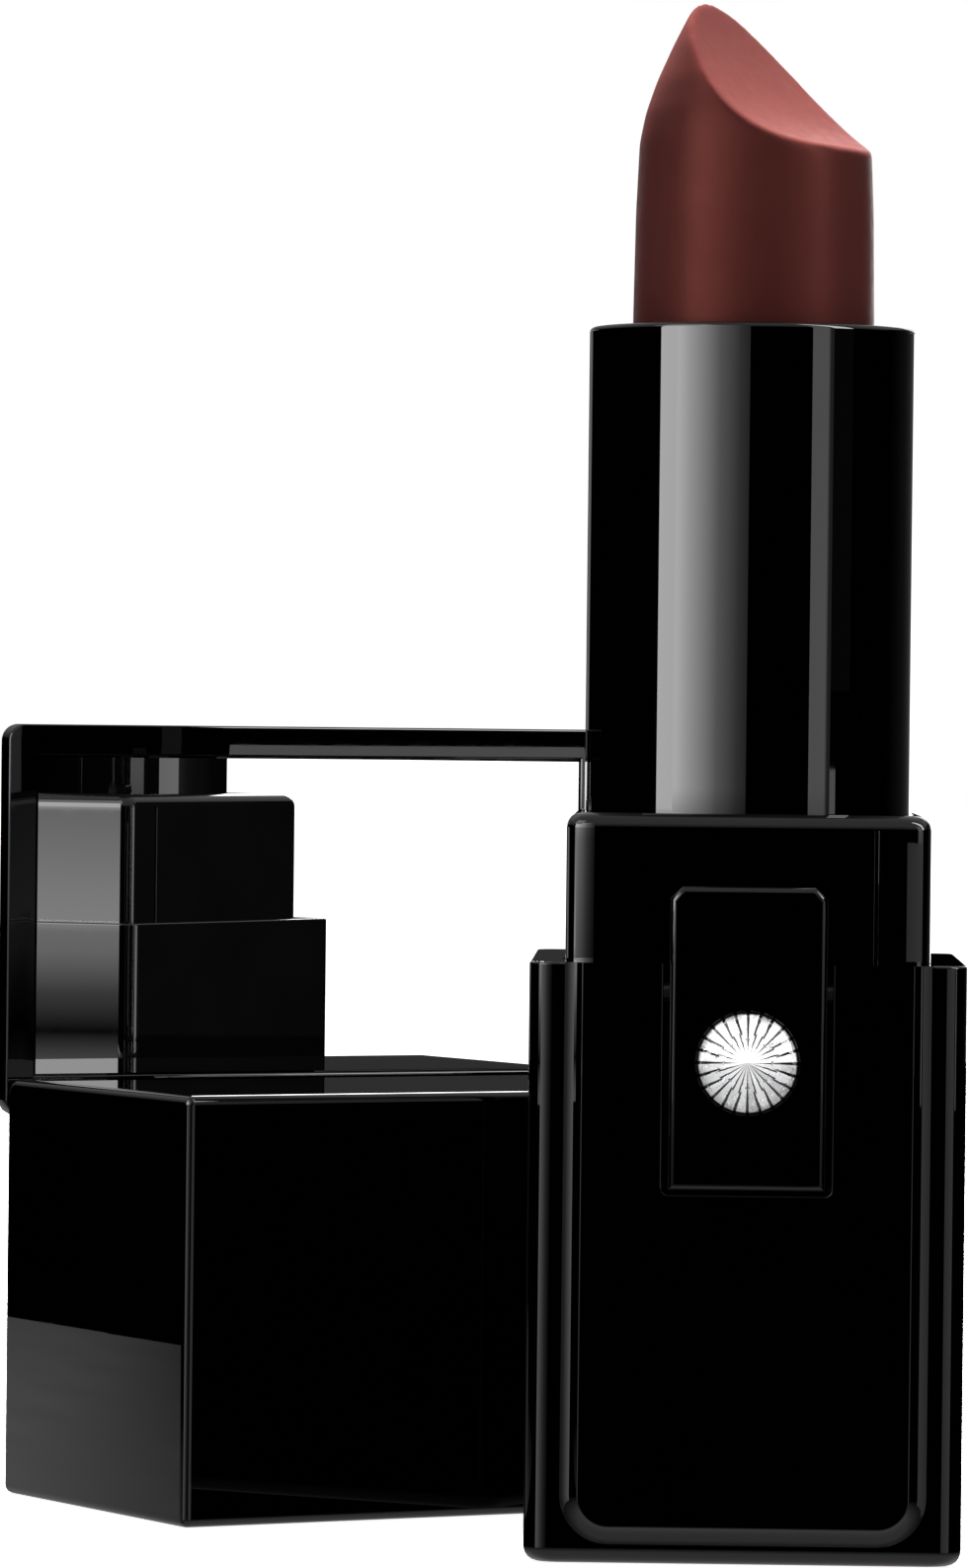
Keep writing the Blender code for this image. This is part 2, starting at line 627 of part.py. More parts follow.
def make_lid_frame(finish):
    back = LID_FRONT + LID_THICKNESS
    bm = block((CAP_CLOSED_END, LID_FRONT, LID_FOOT), (CAP_MOUTH, back, LID_FOOT + LID_HEIGHT))
    round_edges(bm, along(1), LID_CORNER, 4)
    round_edges(bm, at(1, back), CAP_EDGE, 3)
    lid = add_object("lid_frame", bm, finish)
    inside = LID_FRONT + LID_THICKNESS / 2
    outline = [(inside, HINGE_Z + KNUCKLE_RADIUS), (inside, HINGE_Z - KNUCKLE_RADIUS)]
    for step in range(9):
        angle = -pi * step / 8
        outline.append((HINGE_Y + KNUCKLE_RADIUS * sin(angle), HINGE_Z - KNUCKLE_RADIUS * cos(angle)))
    for number, start in enumerate(KNUCKLE_STARTS):
        knuckle = prism(outline, start, start + KNUCKLE_LENGTH)
        cycle = Matrix(((0, 0, 1), (1, 0, 0), (0, 1, 0)))
        bmesh.ops.rotate(knuckle, cent=(0, 0, 0), matrix=cycle, verts=knuckle.verts)
        join(lid, f"knuckle_{number}", knuckle)
        bore_start = (start - MM, HINGE_Y, HINGE_Z)
        bore = rod(HINGE_PIN_DIAMETER + 2 * SNUG, bore_start, KNUCKLE_LENGTH + 2 * MM, "X", 12)
        cut(lid, f"knuckle_bore_{number}", bore)
    cut(lid, "mirror_tray", mirror_box(-MM, MIRROR_TRAY, 0))


def make_mirror(glass_finish, film_finish):
    glass = mirror_box(MIRROR_SUNK, MIRROR_SUNK + MIRROR_THICKNESS, SNUG)
    add_object("mirror_glass", glass, glass_finish)
    film_front = MIRROR_SUNK + MIRROR_THICKNESS + FILM_GAP
    add_object("mirror_adhesive", mirror_box(film_front, film_front + FILM_THICKNESS, 5 * SNUG), film_finish)


def main():
    for old in list(bpy.data.objects):
        bpy.data.objects.remove(old)

    gloss_black = material("gloss_black_plastic", (0.004, 0.004, 0.005), 0.06)
    inner_black = material("inner_black_plastic", (0.01, 0.01, 0.01), 0.35)
    steel = material("steel", (0.55, 0.55, 0.57), 0.3, 1.0)
    foil = material("silver_foil", (0.8, 0.8, 0.82), 0.1, 1.0)
    crystal = material("crystal", (0.9, 0.9, 0.92), 0.02)
    glide = material("glide_plastic", (0.7, 0.7, 0.68), 0.4)
    lipstick = material("lipstick_wax", (0.16, 0.04, 0.032), 0.45)
    mirror = material("mirror", (0.9, 0.9, 0.9), 0.01, 1.0)
    foam = material("foam", (0.02, 0.02, 0.02), 0.9)

    base = bpy.data.objects.new("base_axis", None)
    base.rotation_euler.z = BASE_TURN
    bpy.context.collection.objects.link(base)

    make_outer_sleeve(base, gloss_black)
    make_bottom_cover(base, inner_black)
    make_ballast_weight(base, steel)
    make_collar(base, gloss_black)
    make_inner_guide(base, glide)
    make_catch_pin(base, steel)
    make_catch_spring(base, steel)
    make_catch_tongue(base, gloss_black)
    make_crystal_setting(base, foil)
    make_crystal(base, crystal)
    make_outer_tube(base, gloss_black)
    make_spiral_sleeve(base, inner_black)
    make_glide_ring(base, glide)
    make_carrier_cup(base, glide)
    make_lipstick_bullet(base, lipstick)
    make_cap_shell(gloss_black)
    make_cap_liner(inner_black)
    make_cap_end_pad(foam)
    make_hinge_pins(steel)
    make_lid_frame(gloss_black)
    make_mirror(mirror, foam)


main()
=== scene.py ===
"""Looks for the lipstick case: fine meshes, finishes, studio cards and the camera, in metres.

The base and everything that turns with it are shaped in the base's own frame, front towards -Y, and then
turned by BASE_TURN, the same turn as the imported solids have. The cap and its lid are squared to the axes.
"""

import json
from math import atan2, ceil, cos, floor, pi, radians, sin

import bmesh
import bpy
from mathutils import Matrix, Vector


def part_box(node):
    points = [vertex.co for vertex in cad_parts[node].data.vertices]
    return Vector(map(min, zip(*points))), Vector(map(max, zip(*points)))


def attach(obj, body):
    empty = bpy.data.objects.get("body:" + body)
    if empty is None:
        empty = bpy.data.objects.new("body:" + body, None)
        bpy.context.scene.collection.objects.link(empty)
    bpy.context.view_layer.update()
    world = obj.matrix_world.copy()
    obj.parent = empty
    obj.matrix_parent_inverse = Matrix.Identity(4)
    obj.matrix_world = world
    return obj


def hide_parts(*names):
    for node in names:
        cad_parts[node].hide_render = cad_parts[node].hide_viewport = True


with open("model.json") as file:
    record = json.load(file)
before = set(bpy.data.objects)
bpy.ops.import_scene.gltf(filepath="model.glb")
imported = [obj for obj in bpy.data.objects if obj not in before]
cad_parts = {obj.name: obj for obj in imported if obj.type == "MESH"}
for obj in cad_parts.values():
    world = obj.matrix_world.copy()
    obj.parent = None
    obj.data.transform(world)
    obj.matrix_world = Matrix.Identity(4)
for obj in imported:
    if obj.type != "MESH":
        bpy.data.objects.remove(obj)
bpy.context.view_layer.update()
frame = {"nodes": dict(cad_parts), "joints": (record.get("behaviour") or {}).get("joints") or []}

MM = 0.001
TINY = 1e-6  # tolerance on a coordinate
POCKET_GAP = 0.1 * MM  # between a piece and the pocket it sits in


def joint(name):
    """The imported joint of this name."""
    return next(entry for entry in frame["joints"] if entry["name"] == name)


CATCH = joint("catch_press")
HINGE = joint("mirror_hinge")
BASE_TURN = atan2(CATCH["axis"][1], CATCH["axis"][0])
TO_BASE = Matrix.Rotation(-BASE_TURN, 4, "Z")
TO_ROW = Matrix.Rotation(BASE_TURN, 4, "Z")


def base_box(node):
    """Lowest and highest corner of a CAD node, in the base's own frame."""
    points = [TO_BASE @ vertex.co for vertex in frame["nodes"][node].data.vertices]
    low = Vector(min(point[axis] for point in points) for axis in range(3))
    high = Vector(max(point[axis] for point in points) for axis in range(3))
    return low, high


# ---- Mesh helpers --------------------------------------------------------------------------------


def between(stations, position):
    """Straight-line value between (position, value) stations."""
    for (low, first), (high, second) in zip(stations, stations[1:]):
        if position <= high:
            return first + (second - first) * (position - low) / (high - low)
    return stations[-1][1]


def add_object(name, bm):
    """Puts a mesh into the scene as an object, its faces outwards."""
    bmesh.ops.recalc_face_normals(bm, faces=bm.faces)
    mesh = bpy.data.meshes.new(name)
    bm.to_mesh(mesh)
    bm.free()
    made = bpy.data.objects.new(name, mesh)
    bpy.context.scene.collection.objects.link(made)
    return made


def block(low, high):
    """A box between two corners."""
    bm = bmesh.new()
    size = Vector(high) - Vector(low)
    centre = (Vector(high) + Vector(low)) / 2
    bmesh.ops.create_cube(bm, size=1.0, matrix=Matrix.Translation(centre) @ Matrix.Diagonal((*size, 1)))
    return bm


def round_edges(bm, chosen, radius, segments=6):
    """Rounds the edges whose two ends chosen(a, b) accepts."""
    edges = [edge for edge in bm.edges if chosen(edge.verts[0].co, edge.verts[1].co)]
    bmesh.ops.bevel(bm, geom=edges, offset=radius, segments=segments, profile=0.5, affect="EDGES")
    return bm


def along(axis):
    """Picks the edges that run along an axis."""
    return lambda a, b: abs((b - a).normalized()[axis]) > 0.999


def at(axis, position):
    """Picks the edges that lie at one position on an axis."""
    return lambda a, b: abs(a[axis] - position) < TINY and abs(b[axis] - position) < TINY


def loft(rings, closed=False):
    """Joins equal rings of points; caps both ends unless closed. A one-point ring is a pole."""
    bm = bmesh.new()
    made = [[bm.verts.new(point) for point in ring] for ring in rings]
    sides = max(len(ring) for ring in made)
    for ring, following in zip(made, made[1:] + ([made[0]] if closed else [])):
        for step in range(sides):
            after = (step + 1) % sides
            corners = []
            for vertex in (
                ring[step % len(ring)],
                ring[after % len(ring)],
                following[after % len(following)],
                following[step % len(following)],
            ):
                if vertex not in corners:
                    corners.append(vertex)
            if len(corners) > 2:
                bm.faces.new(corners)
    if not closed:
        for ring in (made[0], made[-1]):
            if len(ring) > 2:
                bm.faces.new(ring)
    return bm


def turned(profile, sides, centre=(0, 0, 0), towards="Z"):
    """Turns a closed (radius, height) outline round an axis: Z up, X, or Y towards the front."""
    rings = []
    for radius, height in profile:
        count = sides if radius > 0 else 1
        angles = [2 * pi * step / sides for step in range(count)]
        rings.append([Vector((radius * cos(angle), radius * sin(angle), height)) for angle in angles])
    bm = loft(rings, closed=True)
    turns = {"Z": Matrix(), "Y": Matrix.Rotation(pi / 2, 4, "X"), "X": Matrix.Rotation(pi / 2, 4, "Y")}
    bmesh.ops.transform(bm, matrix=Matrix.Translation(centre) @ turns[towards], verts=bm.verts)
    return bm


def rod(radius, start, length, towards, sides=48):
    """A cylinder from a start point along an axis."""
    return turned([(0, 0), (radius, 0), (radius, length), (0, length)], sides, start, towards)


def arc(centre, radius, start, end, steps):
    """Points along an arc in the XY plane, angles in degrees."""
    found = []
    for step in range(steps + 1):
        angle = radians(start + (end - start) * step / steps)
        found.append((centre[0] + radius * cos(angle), centre[1] + radius * sin(angle)))
    return found


def combine(target, bm, operation="DIFFERENCE"):
    """Cuts or joins a shape, and settles the result into the target's mesh."""
    other = add_object("tool", bm)
    modifier = target.modifiers.new("combine", "BOOLEAN")
    modifier.operation = operation
    modifier.object = other
    settle(target)
    bpy.data.objects.remove(other)


def settle(target):
    """Applies every modifier."""
    graph = bpy.context.evaluated_depsgraph_get()
    mesh = bpy.data.meshes.new_from_object(target.evaluated_get(graph), depsgraph=graph)
    target.modifiers.clear()
    target.data = mesh


def soften(target, chosen, radius, segments=3, sharper_than=50):
    """Rounds the sharp edges of a settled mesh that chosen(a, b) picks."""
    bm = bmesh.new()
    bm.from_mesh(target.data)
    bmesh.ops.remove_doubles(bm, verts=bm.verts, dist=1e-7)
    bmesh.ops.dissolve_limit(bm, angle_limit=radians(0.5), verts=bm.verts, edges=bm.edges)
    edges = []
    for edge in bm.edges:
        if len(edge.link_faces) == 2 and edge.calc_face_angle() > radians(sharper_than):
            if chosen(edge.verts[0].co, edge.verts[1].co):
                edges.append(edge)
    bmesh.ops.bevel(
        bm, geom=edges, offset=radius, segments=segments, profile=0.5, affect="EDGES", clamp_overlap=True
    )
    bm.to_mesh(target.data)
    bm.free()


def shade(target, sharp=40):
    """Smooth shading that keeps large flat faces flat."""
    target.data.shade_smooth()
    target.data.set_sharp_from_angle(angle=radians(sharp))
    weighted = target.modifiers.new("flat_faces", "WEIGHTED_NORMAL")
    weighted.keep_sharp = True
    weighted.weight = 80


def place(target, body, finish, replaced, turn=False):
    """Gives a finished piece its body and material, hides the solids it replaces, and turns it out of the
    base's frame if asked.
    """
    if turn:
        target.matrix_world = TO_ROW
    target.data.materials.clear()
    target.data.materials.append(finish)
    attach(target, body)
    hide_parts(*replaced)


# ---- Finishes ------------------------------------------------------------------------------------


class Finish:
    """A Principled material and short ways to wire its textures."""

    def __init__(self, name, colour, roughness, metallic=0.0, **sockets):
        self.material = bpy.data.materials.new(name)
        self.material.use_nodes = True
        self.nodes = self.material.node_tree.nodes
        self.links = self.material.node_tree.links
        self.shader = self.nodes["Principled BSDF"]
        self.shader.inputs["Base Color"].default_value = (*colour, 1)
        self.shader.inputs["Roughness"].default_value = roughness
        self.shader.inputs["Metallic"].default_value = metallic
        for socket, value in sockets.items():
            self.shader.inputs[socket.replace("_", " ")].default_value = value
        self.where = self.nodes.new("ShaderNodeTexCoord")

    def noise(self, scale, detail=4.0, stretch=(1, 1, 1)):
        """A noise texture in the object's own coordinates."""
        mapping = self.nodes.new("ShaderNodeMapping")
        mapping.inputs["Scale"].default_value = stretch
        self.links.new(self.where.outputs["Object"], mapping.inputs["Vector"])
        texture = self.nodes.new("ShaderNodeTexNoise")
        texture.inputs["Scale"].default_value = scale
        texture.inputs["Detail"].default_value = detail
        self.links.new(mapping.outputs["Vector"], texture.inputs["Vector"])
        return texture.outputs["Fac"]

    def ramp(self, fac, low, high, start=0.35, end=0.65):
        """Maps a texture onto two colours, or two grey levels."""
        ramp = self.nodes.new("ShaderNodeValToRGB")
        for element, colour, position in zip(ramp.color_ramp.elements, (low, high), (start, end)):
            element.color = (*colour, 1) if isinstance(colour, tuple) else (colour, colour, colour, 1)
            element.position = position
        self.links.new(fac, ramp.inputs["Fac"])
        return ramp.outputs["Color"]

    def drive(self, socket, output):
        """Links a texture to one of the shader's inputs."""
        self.links.new(output, self.shader.inputs[socket])
        return self

    def bump(self, fac, strength, distance):
        """Roughens the surface normal with a texture."""
        bump = self.nodes.new("ShaderNodeBump")
        bump.inputs["Strength"].default_value = strength
        bump.inputs["Distance"].default_value = distance
        self.links.new(fac, bump.inputs["Height"])
        self.links.new(bump.outputs["Normal"], self.shader.inputs["Normal"])
        return self


def make_gloss_black():
    made = Finish("gloss_black", (0.0006, 0.0006, 0.0006), 0.03, IOR=1.5)
    made.drive("Roughness", made.ramp(made.noise(900, 3), 0.006, 0.018))
    tone = made.ramp(made.noise(140, 3), (0.0005, 0.0005, 0.0005), (0.0008, 0.0008, 0.0008))
    made.drive("Base Color", tone)
    return made.bump(made.noise(260, 2), 0.004, 0.02 * MM).material


def make_inner_black():
    made = Finish("inner_black", (0.006, 0.006, 0.006), 0.45)
    grain = made.noise(5000, 4)
    made.drive("Base Color", made.ramp(grain, (0.004, 0.004, 0.004), (0.009, 0.009, 0.009)))
    return made.bump(grain, 0.2, 0.02 * MM).material


def make_steel():
    made = Finish("steel", (0.55, 0.55, 0.57), 0.28, 1.0)
    lines = made.noise(900, 3, (1, 12, 12))
    made.drive("Roughness", made.ramp(lines, 0.2, 0.36))
    made.drive("Base Color", made.ramp(lines, (0.5, 0.5, 0.52), (0.62, 0.62, 0.64)))
    return made.bump(lines, 0.1, 0.01 * MM).material


def make_foil_with_painted_spokes():
    made = Finish("foil", (0.94, 0.94, 0.95), 0.3, 1.0)
    # The "spoke" attribute paints dark lines and darker wedges into the foil's colour. These are a painted
    # reflection of the stone's dark facets and painted shade, not the foil's own colour.
    spoke = made.nodes.new("ShaderNodeAttribute")
    spoke.attribute_name = "spoke"
    tone = made.ramp(spoke.outputs["Fac"], (0.94, 0.94, 0.95), (0.01, 0.01, 0.01), 0.0, 1.0)
    made.drive("Base Color", tone)
    made.drive("Roughness", made.ramp(made.noise(2500, 3), 0.24, 0.36))
    return made.bump(made.noise(1800, 2), 0.05, 0.01 * MM).material


def make_crystal():
    made = Finish("crystal", (1.0, 1.0, 1.0), 0.0, IOR=1.58, Transmission_Weight=1.0)
    return made.drive("Roughness", made.ramp(made.noise(3000, 2), 0.0, 0.02)).material


def make_glide_plastic():
    made = Finish("glide_plastic", (0.62, 0.62, 0.6), 0.38, Subsurface_Weight=0.1, Subsurface_Scale=0.5 * MM)
    made.drive("Roughness", made.ramp(made.noise(2500, 3), 0.3, 0.46))
    return made.bump(made.noise(4000, 3), 0.1, 0.01 * MM).material


def make_lipstick():
    made = Finish("lipstick", (0.173, 0.043, 0.037), 0.4, Subsurface_Weight=0.1, Subsurface_Scale=0.5 * MM)
    made.shader.inputs["Specular IOR Level"].default_value = 0.16
    made.shader.inputs["Subsurface Radius"].default_value = (1.0, 0.35, 0.25)
    made.shader.inputs["Specular Tint"].default_value = (1.0, 0.28, 0.22, 1.0)
    cloud = made.noise(260, 5)
    made.drive("Base Color", made.ramp(cloud, (0.163, 0.039, 0.034), (0.183, 0.046, 0.04), 0.3, 0.7))
    made.drive("Roughness", made.ramp(made.noise(1500, 4), 0.32, 0.42))
    return made.bump(made.noise(1400, 5), 0.06, 0.02 * MM).material


def make_foam():
    made = Finish("foam", (0.012, 0.012, 0.012), 0.9)
    return made.bump(made.noise(6000, 6), 0.5, 0.05 * MM).material


def make_mirror():
    made = Finish("mirror", (0.93, 0.93, 0.94), 0.0, 1.0)
    tone = made.ramp(made.noise(60, 2), (0.92, 0.92, 0.93), (0.94, 0.94, 0.95))
    return made.drive("Base Color", tone).material


def glow(name):
    """An emitting material whose strength is painted on the mesh."""
    made = bpy.data.materials.new(name)
    made.use_nodes = True
    nodes = made.node_tree.nodes
    links = made.node_tree.links
    nodes.remove(nodes["Principled BSDF"])
    emission = nodes.new("ShaderNodeEmission")
    attribute = nodes.new("ShaderNodeAttribute")
    attribute.attribute_name = "glow"
    links.new(attribute.outputs["Fac"], emission.inputs["Strength"])
    links.new(emission.outputs["Emission"], nodes["Material Output"].inputs["Surface"])
    return made


GLOSS_BLACK = make_gloss_black()
INNER_BLACK = make_inner_black()
STEEL = make_steel()
FOIL_WITH_PAINTED_SPOKES = make_foil_with_painted_spokes()
CRYSTAL = make_crystal()
GLIDE = make_glide_plastic()
LIPSTICK = make_lipstick()
FOAM = make_foam()
MIRROR = make_mirror()


# ---- Base ----------------------------------------------------------------------------------------

SLEEVE_LOW, SLEEVE_HIGH = base_box("outer_sleeve")
COLLAR_LOW, COLLAR_HIGH = base_box("collar")
TONGUE_LOW, TONGUE_HIGH = base_box("catch_tongue")
TUBE_LOW, TUBE_HIGH = base_box("outer_tube")
PANEL_HALF = 8.08 * MM
PANEL_FOOT = 1.9 * MM
PANEL_CORNER = 1.5 * MM
PANEL_HOLLOW = 1.19 * MM
PANEL_CREST = 0.1 * MM
PANEL_TILT = radians(50)
FACE_SET_BACK = (PANEL_HOLLOW + PANEL_CREST) * (1 - cos(PANEL_TILT))
FRONT_RADIUS = 1.12 * MM
BACK_RADIUS = 0.9 * MM
FOOT_RADIUS = 0.8 * MM
RIM_RADIUS = 0.12 * MM
CAVITY_CORNER = 1.0 * MM
NOTCH_HALF = 4.15 * MM
NOTCH_FOOT = 18.2 * MM
NOTCH_BEHIND = 0.7 * MM
NOTCH_CORNER = 0.3 * MM
NOTCH_EDGE = 0.1 * MM


def sleeve_outline():
    """Points round the sleeve, counter-clockwise from its right front corner."""
    half = SLEEVE_HIGH.x
    front_y = SLEEVE_LOW.y + FACE_SET_BACK + FRONT_RADIUS
    back_y = SLEEVE_HIGH.y - BACK_RADIUS
    right = arc((half - FRONT_RADIUS, front_y), FRONT_RADIUS, -90, 0, 14)
    right += arc((half - BACK_RADIUS, back_y), BACK_RADIUS, 0, 90, 8)
    return right + [(-x, y) for x, y in reversed(right)]


def panel_outline(grow):
    """Points (x, z) round the panel's flat front, open at the rim, grown outwards by a distance."""
    half = PANEL_HALF + grow
    foot = PANEL_FOOT - grow
    corner = PANEL_CORNER + grow
    top = SLEEVE_HIGH.z
    right = arc((half - corner, foot + corner), corner, -90, 0, 12) + [(half, top)]
    return right + [(-x, z) for x, z in reversed(right)]


def panel_slope():
    """(across, rise) from the sleeve's face to the panel's flat front: a hollow arc, then a small crest."""
    found = [(0, -0.02 * MM)]
    for step in range(1, 13):
        angle = PANEL_TILT * step / 12
        found.append((PANEL_HOLLOW * sin(angle), PANEL_HOLLOW * (1 - cos(angle))))
    width = (PANEL_HOLLOW + PANEL_CREST) * sin(PANEL_TILT)
    for step in range(1, 7):
        angle = PANEL_TILT * (1 - step / 6)
        found.append((width - PANEL_CREST * sin(angle), FACE_SET_BACK - PANEL_CREST * (1 - cos(angle))))
    return found


def panel_form():
    """The raised panel, from behind the sleeve's face to its own flat front."""
    face = SLEEVE_LOW.y + FACE_SET_BACK
    slope = panel_slope()
    width = slope[-1][0]
    rings = []
    for across, rise in [(0, -MM)] + slope:
        rings.append([Vector((x, face - rise, z)) for x, z in panel_outline(width - across)])
    return loft(rings)


def column(outline, levels):
    """A solid of one outline at several (height, inset) levels, drawn in to its middle by each inset."""
    low_y = min(y for _, y in outline)
    high_y = max(y for _, y in outline)
    middle = (low_y + high_y) / 2
    half = max(x for x, _ in outline)
    rings = []
    for height, inset in levels:
        share = 1 - inset / half
        rings.append([Vector((x * share, middle + (y - middle) * share, height)) for x, y in outline])
    return loft(rings)


def foot_round(height, radius, steps):
    """Levels of a rounded foot, upwards."""
    angles = [pi / 2 * step / steps for step in range(steps + 1)]
    return [(height + radius * (1 - cos(angle)), radius * (1 - sin(angle))) for angle in angles]


def top_round(height, radius, steps):
    """Levels of a rounded top, upwards."""
    angles = [pi / 2 * step / steps for step in range(steps + 1)]
    return [(height - radius * (1 - sin(angle)), radius * (1 - cos(angle))) for angle in angles]


def make_sleeve():
    """The square sleeve, with its raised panel, its cavity and the notch for the catch."""
    height = SLEEVE_HIGH.z
    levels = foot_round(0, FOOT_RADIUS, 6) + top_round(height, RIM_RADIUS, 3)
    sleeve = add_object("case_sleeve", column(sleeve_outline(), levels))
    combine(sleeve, panel_form(), "UNION")

    half = COLLAR_HIGH.x + POCKET_GAP
    cavity = block((-half, -half, -MM), (half, half, height + MM))
    round_edges(cavity, along(2), CAVITY_CORNER, 6)
    combine(sleeve, cavity)
    notch_back = TONGUE_HIGH.y + NOTCH_BEHIND
    notch = block((-NOTCH_HALF, SLEEVE_LOW.y - MM, NOTCH_FOOT), (NOTCH_HALF, notch_back, height + MM))
    round_edges(notch, lambda a, b: along(1)(a, b) and a.z < height, NOTCH_CORNER, 3)
    combine(sleeve, notch)

    def notch_mouth(a, b):
        margin = MM / 100
        on_front = max(a.y, b.y) < SLEEVE_LOW.y + margin
        return on_front and max(abs(a.x), abs(b.x)) < NOTCH_HALF + margin

    soften(sleeve, notch_mouth, NOTCH_EDGE, 2)
    shade(sleeve)
    place(sleeve, "base", GLOSS_BLACK, ("outer_sleeve",), turn=True)


COLLAR_SWELL = 2.1 * MM
COLLAR_CORNER = 0.7 * MM
COLLAR_SWELL_TURN = 25  # degrees
COLLAR_TOP_RADIUS = 0.75 * MM
COLLAR_BORE_GAP = 0.15 * MM
SEAM_FROM_AXIS = 6.3 * MM
SEAM_WIDTH = 0.12 * MM
SEAM_LIP = 0.07 * MM


def collar_outline():
    """Points round the collar: each front corner turns slowly, then tightly, then slowly again."""
    gentle = COLLAR_SWELL_TURN
    half = COLLAR_HIGH.x
    drop = COLLAR_SWELL - COLLAR_CORNER
    tight = half - COLLAR_SWELL + drop * cos(radians(gentle))
    wide = tight - drop * sin(radians(gentle))
    right = arc((wide, COLLAR_SWELL - half), COLLAR_SWELL, -90, gentle - 90, 6)
    right += arc((tight, -tight), COLLAR_CORNER, gentle - 90, -gentle, 6)[1:-1]
    right += arc((half - COLLAR_SWELL, -wide), COLLAR_SWELL, -gentle, 0, 6)
    back = half - COLLAR_CORNER
    right += arc((back, back), COLLAR_CORNER, 0, 90, 8)
    return right + [(-x, y) for x, y in reversed(right)]


def make_collar():
    """The collar, with its round bore and an upright seam in its front and in its back."""
    levels = [(COLLAR_LOW.z, 0)] + top_round(COLLAR_HIGH.z, COLLAR_TOP_RADIUS, 6)
    collar = add_object("case_collar", column(collar_outline(), levels))
    bore = TUBE_HIGH.x + COLLAR_BORE_GAP
    above = COLLAR_HIGH.z + MM
    combine(collar, turned([(0, -MM), (bore, -MM), (bore, above), (0, above)], 128))
    for side in (-1, 1):
        front = side * COLLAR_HIGH.y
        depth = sorted((front - side * 2 * SEAM_WIDTH, front + side * MM))
        centre = -side * SEAM_FROM_AXIS
        low = (centre - SEAM_WIDTH / 2, depth[0], COLLAR_LOW.z + MM)
        high = (centre + SEAM_WIDTH / 2, depth[1], COLLAR_HIGH.z - COLLAR_TOP_RADIUS)
        combine(collar, block(low, high))

    def seam_lip(a, b):
        near = abs(abs(a.x) - SEAM_FROM_AXIS) < SEAM_WIDTH and abs(abs(b.x) - SEAM_FROM_AXIS) < SEAM_WIDTH
        return near and min(abs(a.y), abs(b.y)) > COLLAR_HIGH.y - SEAM_WIDTH

    soften(collar, seam_lip, SEAM_LIP, 3)
    shade(collar)
    place(collar, "base", GLOSS_BLACK, ("collar",), turn=True)


# ---- Catch ---------------------------------------------------------------------------------------

CRYSTAL_LOW, CRYSTAL_HIGH = base_box("crystal")
SETTING_LOW, SETTING_HIGH = base_box("crystal_setting")
CRYSTAL_CENTRE = (CRYSTAL_LOW + CRYSTAL_HIGH) / 2
CRYSTAL_RADIUS = (CRYSTAL_HIGH.x - CRYSTAL_LOW.x) / 2
TONGUE_BEVEL = 0.3 * MM
TONGUE_THICKNESS = 1.5 * MM
TONGUE_LIP = 0.75 * MM
EAR_WIDTH = 2.0 * MM
EAR_RADIUS = 0.9 * MM
EAR_CORNER = 0.4 * MM
EAR_INSET = 0.2 * MM
OVERLAP = 0.3 * MM  # how far a joined shape reaches into its neighbour
PIN_BORE = 0.55 * MM
RECESS_CHAMFER = 0.12 * MM


def make_tongue():
    """The catch's tongue, with two ears bored for the pin and a recess for the crystal."""
    half = TONGUE_HIGH.x
    back = TONGUE_LOW.y + TONGUE_THICKNESS
    pivot = TO_BASE @ Vector(CATCH["pos_m"])
    bm = block((-half, TONGUE_LOW.y, TONGUE_LOW.z), (half, back, TONGUE_HIGH.z))
    round_edges(bm, lambda a, b: along(1)(a, b) and a.z > SLEEVE_HIGH.z, 2 * TONGUE_BEVEL, 1)
    round_edges(bm, at(1, TONGUE_LOW.y), TONGUE_BEVEL, 4)
    tongue = add_object("tongue", bm)
    relief_low = (-1.5 * half, TONGUE_LOW.y + TONGUE_LIP, SLEEVE_HIGH.z - OVERLAP)
    combine(tongue, block(relief_low, (1.5 * half, back + MM, TONGUE_HIGH.z + MM)))
    for side in (-1, 1):
        ends = sorted((side * (half - EAR_INSET), side * (half - EAR_INSET - EAR_WIDTH)))
        ear_back = pivot.y + EAR_RADIUS
        ear_low = (ends[0], back - OVERLAP, pivot.z - EAR_RADIUS)
        ear = block(ear_low, (ends[1], ear_back, pivot.z + EAR_RADIUS))
        combine(tongue, round_edges(ear, at(1, ear_back), EAR_CORNER, 4), "UNION")
    combine(tongue, rod(PIN_BORE, (-2 * half, pivot.y, pivot.z), 4 * half, "X", 32))
    recess = CRYSTAL_RADIUS + POCKET_GAP
    mouth = recess + RECESS_CHAMFER
    recess_back = SETTING_HIGH.y + POCKET_GAP
    depth = recess_back - TONGUE_LOW.y
    profile = [
        (0, 0),
        (recess, 0),
        (recess, depth - RECESS_CHAMFER),
        (mouth, depth),
        (mouth, depth + MM),
        (0, depth + MM),
    ]
    combine(tongue, turned(profile, 96, (0, recess_back, CRYSTAL_CENTRE.z), "Y"))
    shade(tongue)
    place(tongue, "catch", GLOSS_BLACK, ("catch_tongue",), turn=True)


FOIL_SPOKES = 24
PAINTED_SPOKE_HALF = radians(1.9)  # half a painted dark spoke, a painted reflection of the stone's dark facets
FOIL_ROOM = 0.02 * MM
FOIL_WALL = 0.05 * MM
FOIL_LIP = 0.12 * MM
FOIL_FLOOR = 0.08 * MM


